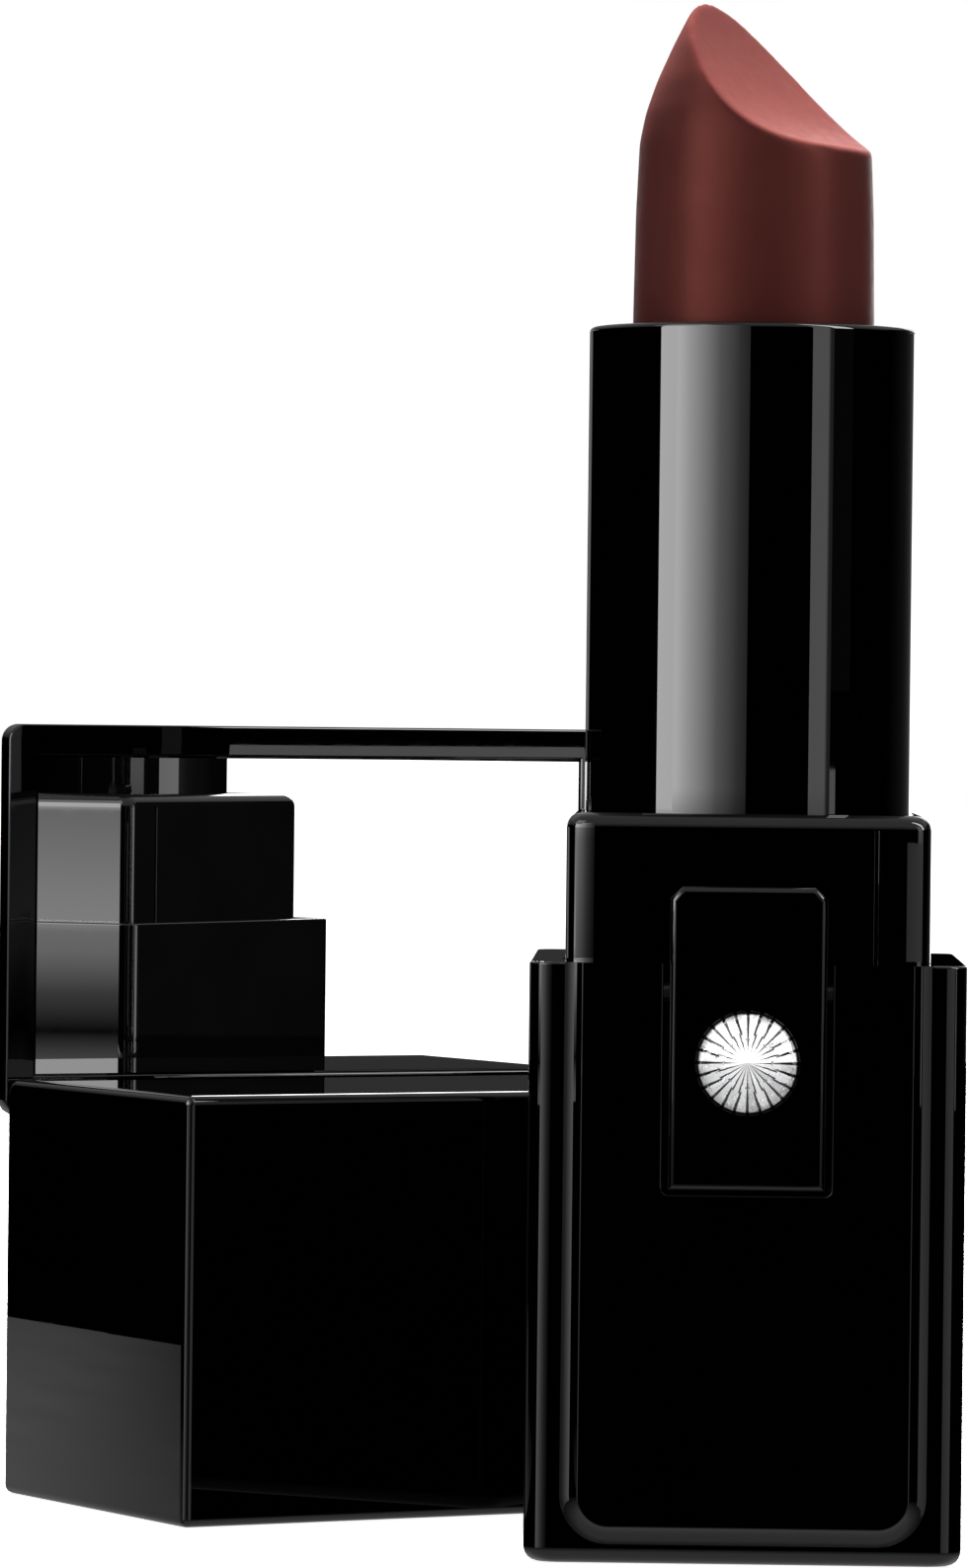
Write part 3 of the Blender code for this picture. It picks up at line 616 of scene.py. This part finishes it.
def make_setting():
    """A foil cup whose floor is a shallow cone, split by spokes that meet in the middle; the spokes carry a
    painted dark reflection of the stone's facets, and the wedges between them carry painted shade, heavier
    on the right half.
    """
    girdle = CRYSTAL_RADIUS + FOIL_ROOM
    outer = girdle + FOIL_WALL
    depth = SETTING_HIGH.y - SETTING_LOW.y
    cone = depth - FOIL_LIP
    angles = []
    for spoke in range(FOIL_SPOKES):
        middle = 2 * pi * spoke / FOIL_SPOKES
        angles += [middle - PAINTED_SPOKE_HALF, middle + PAINTED_SPOKE_HALF]
    sections = ((0, 0), (outer, 0), (outer, depth), (girdle, depth), (girdle, cone), (0, FOIL_FLOOR))
    rings = []
    for radius, height in sections:
        around = angles if radius > 0 else [0]
        rings.append([Vector((radius * cos(angle), radius * sin(angle), height)) for angle in around])
    bm = loft(rings, closed=True)
    # Painted shade per face: 1 on the dark spokes (a painted reflection), and a varying lesser darkening on
    # the wedges, up to 0.3 on the right half and 0.1 on the left.
    layer = bm.faces.layers.float.new("spoke")
    for face in bm.faces:
        centre = face.calc_center_median()
        position = atan2(centre.y, centre.x) * FOIL_SPOKES / (2 * pi)
        on_painted_spoke = abs(position - round(position)) * 2 * pi / FOIL_SPOKES < PAINTED_SPOKE_HALF
        deepest_painted_shade = 0.3 if centre.x > 0 else 0.1
        face[layer] = 1.0 if on_painted_spoke else deepest_painted_shade * (floor(position) * 7 % 5) / 4
    forwards = Matrix.Translation((0, SETTING_HIGH.y, CRYSTAL_CENTRE.z)) @ Matrix.Rotation(pi / 2, 4, "X")
    bmesh.ops.transform(bm, matrix=forwards, verts=bm.verts)
    setting = add_object("crystal_cup", bm)
    place(setting, "catch", FOIL_WITH_PAINTED_SPOKES, ("crystal_setting",), turn=True)


def make_crystal_cut():
    """A brilliant cut: table, stars, kites and girdle facets in front, mains and halves behind."""
    depth = CRYSTAL_HIGH.y - CRYSTAL_LOW.y
    girdle = 0.45 * depth
    levels = (
        (0.50, depth, 8, 0.0),
        (0.74, girdle + 0.66 * (depth - girdle), 8, 0.5),
        (1.0, girdle + 0.03 * MM, 32, 0.0),
        (1.0, girdle - 0.03 * MM, 32, 0.0),
        (0.42, 0.16 * girdle, 8, 0.5),
        (0.0, 0.0, 1, 0.0),
    )
    bm = bmesh.new()
    for share, height, count, offset in levels:
        for step in range(count):
            angle = 2 * pi * (step + offset) / count
            across = share * CRYSTAL_RADIUS
            bm.verts.new((across * cos(angle), across * sin(angle), height))
    bmesh.ops.convex_hull(bm, input=bm.verts)
    bmesh.ops.dissolve_limit(bm, angle_limit=radians(1), verts=bm.verts, edges=bm.edges)
    forwards = Matrix.Translation((0, CRYSTAL_HIGH.y, CRYSTAL_CENTRE.z)) @ Matrix.Rotation(pi / 2, 4, "X")
    bmesh.ops.transform(bm, matrix=forwards, verts=bm.verts)
    cut = add_object("crystal_cut", bm)
    place(cut, "catch", CRYSTAL, ("crystal",), turn=True)


# ---- Tube and lipstick ---------------------------------------------------------------------------

TUBE_WALL = 0.4 * MM
TUBE_RIM_RADIUS = 0.25 * MM


def make_tube():
    """The round tube, open at both ends, with a rounded rim."""
    radius = TUBE_HIGH.x
    bore = radius - TUBE_WALL
    top = TUBE_HIGH.z
    profile = [(bore, TUBE_LOW.z), (radius, TUBE_LOW.z)]
    for step in range(7):
        angle = pi / 2 * step / 6
        inset = TUBE_RIM_RADIUS * (1 - cos(angle))
        profile.append((radius - inset, top - TUBE_RIM_RADIUS * (1 - sin(angle))))
    profile.append((bore, top))
    tube = add_object("round_tube", turned(profile, 192))
    shade(tube)
    place(tube, "tube", GLOSS_BLACK, ("outer_tube",), turn=True)


BULLET_LOW, BULLET_HIGH = base_box("lipstick_bullet")
FACET_TURN = radians(-31)
FACET_LOW = 70.15 * MM
FACET_REACH = 6.1 * MM
FACET_CURVE = 94.0  # per metre
BULLET_TIP = 78.6 * MM
# (height, radius) of the stick in millimetres
SHOULDER = (
    (61.0, 6.1),
    (67.0, 6.0),
    (70.5, 5.85),
    (72.0, 5.55),
    (73.6, 5.0),
    (75.4, 4.2),
    (76.9, 3.45),
    (78.6, 2.5),
)
BULLET_VOXEL = 0.13 * MM
BULLET_SMOOTHINGS = 45
BULLET_FOOT_CHAMFER = 0.3 * MM
FACET_CUTTER_HALF = 9 * MM
FACET_CUTTER_TOP = 120 * MM


def bullet_radius(height):
    """Radius of the turned stick at a height, in straight lines between its stations."""
    level = max(height / MM, SHOULDER[0][0])
    return MM * between(SHOULDER, level)


def make_bullet():
    """The stick turned and cut by its hollow facet, then remeshed and smoothed to soften its edges."""
    in_cup = BULLET_HIGH.x - POCKET_GAP
    foot = BULLET_LOW.z
    profile = [
        (0, foot),
        (in_cup - BULLET_FOOT_CHAMFER, foot),
        (in_cup, foot + BULLET_FOOT_CHAMFER),
        (in_cup, TUBE_HIGH.z - MM),
    ]
    steps = 60
    for step in range(steps + 1):
        height = TUBE_HIGH.z + (BULLET_TIP - TUBE_HIGH.z) * step / steps
        profile.append((bullet_radius(height), height))
    profile.append((0, BULLET_TIP))
    bullet = add_object("lipstick", turned(profile, 128))

    reach = FACET_CUTTER_HALF
    outline = [(-reach, FACET_CUTTER_TOP)]
    for step in range(steps + 1):
        across = reach * (2 * step / steps - 1)
        outline.append((across, FACET_LOW + FACET_CURVE * (FACET_REACH - across) ** 2))
    outline.append((reach, FACET_CUTTER_TOP))
    cutter = loft([[Vector((x, side * reach, z)) for x, z in outline] for side in (-1, 1)])
    bmesh.ops.rotate(cutter, cent=(0, 0, 0), matrix=Matrix.Rotation(FACET_TURN, 3, "Z"), verts=cutter.verts)
    combine(bullet, cutter)

    remesh = bullet.modifiers.new("even", "REMESH")
    remesh.mode = "VOXEL"
    remesh.voxel_size = BULLET_VOXEL
    soft = bullet.modifiers.new("soft_edges", "SMOOTH")
    soft.factor = 0.5
    soft.iterations = BULLET_SMOOTHINGS
    settle(bullet)
    bullet.data.shade_smooth()
    place(bullet, "carrier", LIPSTICK, ("lipstick_bullet",), turn=True)


# ---- Cap -----------------------------------------------------------------------------------------

CAP_LOW, CAP_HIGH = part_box("cap_shell")
LINER_LOW, LINER_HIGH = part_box("cap_liner")
LID_LOW, LID_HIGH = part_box("lid_frame")
GLASS_LOW, GLASS_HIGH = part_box("mirror_glass")
FILM_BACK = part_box("mirror_adhesive")[1].y
HINGE_POINT = Vector(HINGE["pos_m"])
CAP_EDGE = 0.45 * MM
KNUCKLE_RADIUS = 0.7 * MM
KNUCKLE_ROOM = 0.15 * MM
KNUCKLE_LENGTH = 5.0 * MM
HINGE_BORE = 0.4 * MM
HINGE_BORE_REACH = 1.6 * MM  # of the cap's bore past each end of a knuckle
MOUTH_EDGE = 0.1 * MM
PIN_NODES = ("hinge_pin_closed_end", "hinge_pin_mouth_end")


def knuckle_starts():
    """Where each lid knuckle starts along X, from the middle of its pin."""
    found = []
    for node in PIN_NODES:
        low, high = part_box(node)
        found.append((low.x + high.x - KNUCKLE_LENGTH) / 2)
    return found


def make_cap():
    """The cap's shell: rounded about the hinge along its rear top edge, bored for the liner and the pins."""
    bm = block(CAP_LOW, CAP_HIGH)

    def rear_top(a, b):
        return at(1, CAP_HIGH.y)(a, b) and at(2, CAP_HIGH.z)(a, b)

    def plain_edge(a, b):
        barrel = along(0)(a, b) and a.y > HINGE_POINT.y - MM / 10 and a.z > HINGE_POINT.z - MM / 10
        return not at(0, CAP_HIGH.x)(a, b) and not barrel

    round_edges(bm, rear_top, CAP_HIGH.y - HINGE_POINT.y, 10)
    round_edges(bm, plain_edge, CAP_EDGE, 6)
    cap = add_object("cap_case", bm)
    bore_low = (LINER_LOW.x - POCKET_GAP, LINER_LOW.y - POCKET_GAP, LINER_LOW.z - POCKET_GAP)
    combine(cap, block(bore_low, (CAP_HIGH.x + MM, LINER_HIGH.y + POCKET_GAP, LINER_HIGH.z + POCKET_GAP)))
    room = KNUCKLE_RADIUS + KNUCKLE_ROOM
    for start in knuckle_starts():
        low = (start - KNUCKLE_ROOM, HINGE_POINT.y - room, HINGE_POINT.z - room)
        high = (start + KNUCKLE_LENGTH + KNUCKLE_ROOM, CAP_HIGH.y + MM, CAP_HIGH.z + MM)
        combine(cap, block(low, high))
        bore_start = (start - HINGE_BORE_REACH, HINGE_POINT.y, HINGE_POINT.z)
        combine(cap, rod(HINGE_BORE, bore_start, KNUCKLE_LENGTH + 2 * HINGE_BORE_REACH, "X", 24))
    soften(cap, at(0, CAP_HIGH.x), MOUTH_EDGE, 2)
    shade(cap)
    place(cap, "cap", GLOSS_BLACK, ("cap_shell",))


LID_CORNER = 0.9 * MM
LID_EDGE = 0.45 * MM
FRAME_BEVEL = 0.3 * MM
FRAME_OUTER_EDGE = 0.12 * MM
FRAME_PROUD = 0.15 * MM  # in front of the glass


def knuckle_form(start, inside):
    """A lid knuckle: half round behind the hinge axis, and square as far as the inside of the lid."""
    outline = []
    for step in range(17):
        angle = pi / 2 + pi * step / 16
        y = HINGE_POINT.y + KNUCKLE_RADIUS * cos(angle)
        z = HINGE_POINT.z + KNUCKLE_RADIUS * sin(angle)
        outline.append((y, z))
    outline += [(inside, HINGE_POINT.z - KNUCKLE_RADIUS), (inside, HINGE_POINT.z + KNUCKLE_RADIUS)]
    return loft([[Vector((x, y, z)) for y, z in outline] for x in (start, start + KNUCKLE_LENGTH)])


def make_lid():
    """The mirror's frame and back, with two knuckles along its foot."""
    front = GLASS_LOW.y - FRAME_PROUD
    bm = block((LID_LOW.x, front, LID_LOW.z), LID_HIGH)
    round_edges(bm, along(1), LID_CORNER, 8)
    round_edges(bm, at(1, LID_HIGH.y), LID_EDGE, 5)
    round_edges(bm, at(1, front), FRAME_OUTER_EDGE, 3)
    lid = add_object("lid_case", bm)
    tray_low = (GLASS_LOW.x - POCKET_GAP, front - MM, GLASS_LOW.z - POCKET_GAP)
    tray_high = (GLASS_HIGH.x + POCKET_GAP, FILM_BACK + POCKET_GAP / 2, GLASS_HIGH.z + POCKET_GAP)
    combine(lid, block(tray_low, tray_high))
    for start in knuckle_starts():
        combine(lid, knuckle_form(start, (front + LID_HIGH.y) / 2), "UNION")
        bore_start = (start - MM, HINGE_POINT.y, HINGE_POINT.z)
        combine(lid, rod(HINGE_BORE, bore_start, KNUCKLE_LENGTH + 2 * MM, "X", 24))

    def inner_edge(a, b):
        inside = GLASS_LOW.x - MM / 2 < min(a.x, b.x) and max(a.x, b.x) < GLASS_HIGH.x + MM / 2
        return inside and at(1, front)(a, b)

    soften(lid, inner_edge, FRAME_BEVEL, 3)
    shade(lid, 25)
    place(lid, "lid", GLOSS_BLACK, ("lid_frame",))


def make_glass():
    glass = add_object("mirror", block(GLASS_LOW, GLASS_HIGH))
    shade(glass, 20)
    place(glass, "lid", MIRROR, ("mirror_glass",))


def finish_cad_nodes():
    """Materials for the solids that stay as they are, mostly hidden inside."""
    finishes = {
        "bottom_cover": INNER_BLACK,
        "ballast_weight": STEEL,
        "inner_guide": GLIDE,
        "catch_pin": INNER_BLACK,
        "catch_spring": STEEL,
        "spiral_sleeve": INNER_BLACK,
        "glide_ring": GLIDE,
        "carrier_cup": GLIDE,
        "cap_liner": INNER_BLACK,
        "cap_end_pad": FOAM,
        "hinge_pin_closed_end": STEEL,
        "hinge_pin_mouth_end": STEEL,
        "mirror_adhesive": FOAM,
    }
    for node, finish in finishes.items():
        target = frame["nodes"][node]
        target.data.materials.clear()
        target.data.materials.append(finish)


# ---- Studio --------------------------------------------------------------------------------------

CARD_DISTANCE = 0.6
CARD_STEP = 2  # degrees


def spread(stations, widest):
    """Every station's place, and more between them so that none are further apart than widest."""
    found = [stations[0][0]]
    for (low, _), (high, _) in zip(stations, stations[1:]):
        count = ceil((high - low) / widest)
        found += [low + (high - low) * step / count for step in range(1, count + 1)]
    return found


def join_grid(bm, grid):
    """Faces between neighbouring columns of points."""
    for left, right in zip(grid, grid[1:]):
        for row in range(len(left) - 1):
            bm.faces.new((left[row], right[row], right[row + 1], left[row + 1]))


def arc_card(name, stations, fade, distance=CARD_DISTANCE):
    """An upright card curved round the base. Stations are (azimuth, glow), in degrees from the base's front
    to +X; fade is (height, share of the glow), from the card's foot to its top."""
    bm = bmesh.new()
    layer = bm.verts.layers.float.new("glow")
    grid = []
    for azimuth in spread(stations, CARD_STEP):
        across = (distance * sin(radians(azimuth)), -distance * cos(radians(azimuth)))
        made = []
        for level, share in fade:
            vertex = bm.verts.new((*across, level))
            vertex[layer] = between(stations, azimuth) * share
            made.append(vertex)
        grid.append(made)
    join_grid(bm, grid)
    stage_card(name, bm)


def stage_card(name, bm):
    """A card that lights the gloss and nothing else."""
    card = add_object(name, bm)
    card.data.materials.append(glow(f"{name}_glow"))
    card.matrix_world = TO_ROW
    card.visible_camera = False
    card.visible_shadow = False
    card.visible_diffuse = False
    card.visible_transmission = False
    return card


# (height, share of the glow) of the left side card
SIDE_FADE = (
    (-0.0045, 0.16),
    (-0.0033, 0.16),
    (0.0007, 0.005),
    (0.0058, 0.11),
    (0.0111, 0.345),
    (0.0137, 0.38),
    (0.0150, 0.57),
    (0.0188, 0.525),
    (0.0241, 0.44),
    (0.0295, 0.355),
    (0.0305, 1),
    (0.5, 1),
)


def make_cards():
    """Upright cards in front and behind, as the gloss and the mirror see them."""
    left = ((-55, 9.6), (-52, 9.3), (-45, 7.2), (-37, 5.2), (-23, 2.0), (-9, 0.68), (-2.4, 0.4))
    left_fade = ((-0.12, 0.15), (0, 0.2), (0.012, 0.22), (0.028, 0.4), (0.033, 1), (0.5, 1))
    arc_card("left_card", left, left_fade)
    arc_card("left_side_card", ((-68, 9), (-55, 9)), SIDE_FADE)
    right = ((41.6, 1.7), (53.5, 1.7), (55.5, 0.3), (57.9, 0.3))
    right_fade = ((-0.004, 0.12), (0.018, 0.2), (0.03, 0.8), (0.033, 1), (0.5, 1))
    arc_card("right_card", right, right_fade)
    arc_card("mirror_card", ((57.9, 1.6), (62.5, 1.6)), ((-0.0045, 1), (0.0355, 1)))
    arc_card("low_right_card", ((12, 0.5), (52, 0.75)), ((-0.12, 1), (0.028, 1)), distance=0.59)
    back = (
        (112, 0),
        (127, 0.023),
        (137, 0.033),
        (146, 0.07),
        (155, 0.2),
        (156, 3.0),
        (174.5, 3.0),
        (175, 0),
        (191.5, 0),
        (192, 0.25),
        (203, 0.25),
        (204, 0),
    )
    arc_card("back_card", back, ((0.0, 1), (0.3, 1)))
    arc_card("high_back_card", ((148, 0), (168, 0.6), (190, 0.6)), ((0.14, 1), (0.6, 1)))
    rim_fade = ((0.041, 1), (0.05, 1), (0.0501, 0), (0.084, 0), (0.0841, 1), (0.092, 1))
    arc_card("rim_card", ((177, 1), (183, 1)), rim_fade)
    arc_card("left_rim_card", ((-172, 0.4), (-142, 0.4)), ((0.092, 1), (0.139, 1)))
    arc_card("right_rim_card", ((142, 0.4), (172, 0.4)), ((0.092, 1), (0.139, 1)))
    upper_fade = ((0.045, 0.0033), (0.139, 0.0033), (0.14, 1), (1.6, 1))
    arc_card("upper_right_card", ((58, 11), (74, 11)), upper_fade)
    arc_card("upper_left_card", ((-80, 3), (-40, 3)), ((0.3, 1), (0.8, 1)), distance=0.5)


PATCH_WIDTH = 55.5 * MM
PATCH_REACH = 0.175
PATCH_STEPS = 12
PATCH_SKEW = 1.72  # how far back the gloss looks for each step away from the cap
PATCH_NEAR = 0.26  # glow beside the cap at the face's front edge
PATCH_NEAR_RISE = 0.28  # what it gains by the face's rear edge
PATCH_FAR = 0.03  # the same two, at the patch's far side
PATCH_FAR_RISE = 0.26


def make_floor_patch():
    """The part of the floor behind the cap's closed end that its gloss shows, brighter further back."""
    bm = bmesh.new()
    layer = bm.verts.layers.float.new("glow")
    grid = []
    for column in range(PATCH_STEPS + 1):
        share = column / PATCH_STEPS
        away = PATCH_WIDTH * share
        made = []
        for row in range(PATCH_STEPS + 1):
            back = PATCH_REACH * row / PATCH_STEPS
            vertex = bm.verts.new((CAP_LOW.x - away, CAP_LOW.y + back, 0))
            along_face = (back - PATCH_SKEW * away) / (CAP_HIGH.y - CAP_LOW.y)
            along_face = min(max(along_face, 0), 1.2)
            near = PATCH_NEAR + PATCH_NEAR_RISE * along_face
            far = PATCH_FAR + PATCH_FAR_RISE * along_face**1.5
            vertex[layer] = (1 - share) * near + share * far
            made.append(vertex)
        grid.append(made)
    join_grid(bm, grid)
    stage_card("floor_patch", bm).matrix_world = Matrix()


TOP_LIGHT_POWER = 18.0
TOP_LIGHT_SIZE = 0.25
TOP_LIGHT_PLACE = Vector((0, 0.3, 0.6))
TOP_LIGHT_AIM = Vector((0, 0, 0.07))


def make_top_light():
    """Overhead light for the soft finishes alone; the gloss doesn't show it."""
    data = bpy.data.lights.new("top_light", "AREA")
    data.shape = "DISK"
    data.size = TOP_LIGHT_SIZE
    data.energy = TOP_LIGHT_POWER
    lamp = bpy.data.objects.new("top_light", data)
    bpy.context.scene.collection.objects.link(lamp)
    lamp.location = TO_ROW @ TOP_LIGHT_PLACE
    towards = TO_ROW @ (TOP_LIGHT_AIM - TOP_LIGHT_PLACE)
    lamp.rotation_euler = towards.to_track_quat("-Z", "Y").to_euler()
    lamp.visible_glossy = False


FLOOR_HALF = 3.0
FLOOR_DROP = 0.02 * MM


def make_floor():
    """White paper that only the camera sees."""
    bm = bmesh.new()
    bmesh.ops.create_grid(bm, x_segments=1, y_segments=1, size=FLOOR_HALF)
    ground = add_object("floor", bm)
    ground.location.z = -FLOOR_DROP
    paper = bpy.data.materials.new("floor_paper")
    paper.use_nodes = True
    nodes = paper.node_tree.nodes
    links = paper.node_tree.links
    shader = nodes["Principled BSDF"]
    shader.inputs["Base Color"].default_value = (0.85, 0.85, 0.85, 1)
    shader.inputs["Roughness"].default_value = 0.9
    shader.inputs["Emission Color"].default_value = (1, 1, 1, 1)
    shader.inputs["Emission Strength"].default_value = 0.9
    grain = nodes.new("ShaderNodeTexNoise")
    grain.inputs["Scale"].default_value = 400
    bump = nodes.new("ShaderNodeBump")
    bump.inputs["Strength"].default_value = 0.05
    bump.inputs["Distance"].default_value = 0.05 * MM
    links.new(grain.outputs["Fac"], bump.inputs["Height"])
    links.new(bump.outputs["Normal"], shader.inputs["Normal"])
    ground.data.materials.append(paper)
    ground.visible_glossy = False
    ground.visible_diffuse = False


SOFT_LIGHT = 0.3
LEVEL_BAND = 0.13  # sine of the angle at which the room starts to show in the gloss
ROOM_FULL = 0.6  # sine of the angle at which it is brightest
ROOM_GLOW = 0.6


def make_world():
    """White behind the object and through clear glass, soft on its diffuse surfaces. Its gloss shows a dark
    band all round at its own level, and a dim room that brightens above and below that band."""
    world = bpy.data.worlds.new("studio")
    bpy.context.scene.world = world
    world.use_nodes = True
    nodes = world.node_tree.nodes
    links = world.node_tree.links
    background = nodes["Background"]
    direction = nodes.new("ShaderNodeTexCoord")
    parts = nodes.new("ShaderNodeSeparateXYZ")
    links.new(direction.outputs["Generated"], parts.inputs["Vector"])
    slope = nodes.new("ShaderNodeMath")
    slope.operation = "ABSOLUTE"
    links.new(parts.outputs["Z"], slope.inputs[0])
    room = nodes.new("ShaderNodeMapRange")
    levels = {"From Min": LEVEL_BAND, "From Max": ROOM_FULL, "To Min": 0, "To Max": ROOM_GLOW}
    for socket, value in levels.items():
        room.inputs[socket].default_value = value
    links.new(slope.outputs["Value"], room.inputs["Value"])
    path = nodes.new("ShaderNodeLightPath")
    gloss = nodes.new("ShaderNodeMix")
    gloss.inputs["A"].default_value = SOFT_LIGHT
    links.new(room.outputs["Result"], gloss.inputs["B"])
    links.new(path.outputs["Is Glossy Ray"], gloss.inputs["Factor"])
    strength = gloss.outputs["Result"]
    for ray in ("Is Transmission Ray", "Is Camera Ray"):
        white = nodes.new("ShaderNodeMix")
        white.inputs["B"].default_value = 1.0
        links.new(path.outputs[ray], white.inputs["Factor"])
        links.new(strength, white.inputs["A"])
        strength = white.outputs["Result"]
    links.new(strength, background.inputs["Strength"])
    background.inputs["Color"].default_value = (1, 1, 1, 1)


# The camera, in the base's own frame
CAMERA_PLACE = Vector((-3.8 * MM, -422.5 * MM, 41.6 * MM))
CAMERA_YAW = radians(-1.294)
CAMERA_DIP = radians(0.479)
CAMERA_ROLL = radians(0.639)
CAMERA_LENS = 192.2


def make_camera():
    """The camera, yawed, dipped and then rolled about its own line of sight."""
    data = bpy.data.cameras.new("camera")
    data.lens = CAMERA_LENS
    data.sensor_width = 36
    data.clip_start = 0.01
    camera = bpy.data.objects.new("camera", data)
    bpy.context.scene.collection.objects.link(camera)
    ahead = Vector((sin(CAMERA_YAW), cos(CAMERA_YAW), 0))
    forward = ahead * cos(CAMERA_DIP) - Vector((0, 0, sin(CAMERA_DIP)))
    level = Vector((cos(CAMERA_YAW), -sin(CAMERA_YAW), 0))
    raised = level.cross(forward)
    right = level * cos(CAMERA_ROLL) + raised * sin(CAMERA_ROLL)
    upward = raised * cos(CAMERA_ROLL) - level * sin(CAMERA_ROLL)
    turn = Matrix((right, upward, -forward)).transposed().to_4x4()
    camera.matrix_world = TO_ROW @ Matrix.Translation(CAMERA_PLACE) @ turn
    bpy.context.scene.camera = camera


make_sleeve()
make_collar()
make_tongue()
make_setting()
make_crystal_cut()
make_tube()
make_bullet()
make_cap()
make_lid()
make_glass()
finish_cad_nodes()
make_cards()
make_floor_patch()
make_top_light()
make_floor()
make_world()
make_camera()
bpy.context.scene.view_settings.view_transform = "Standard"
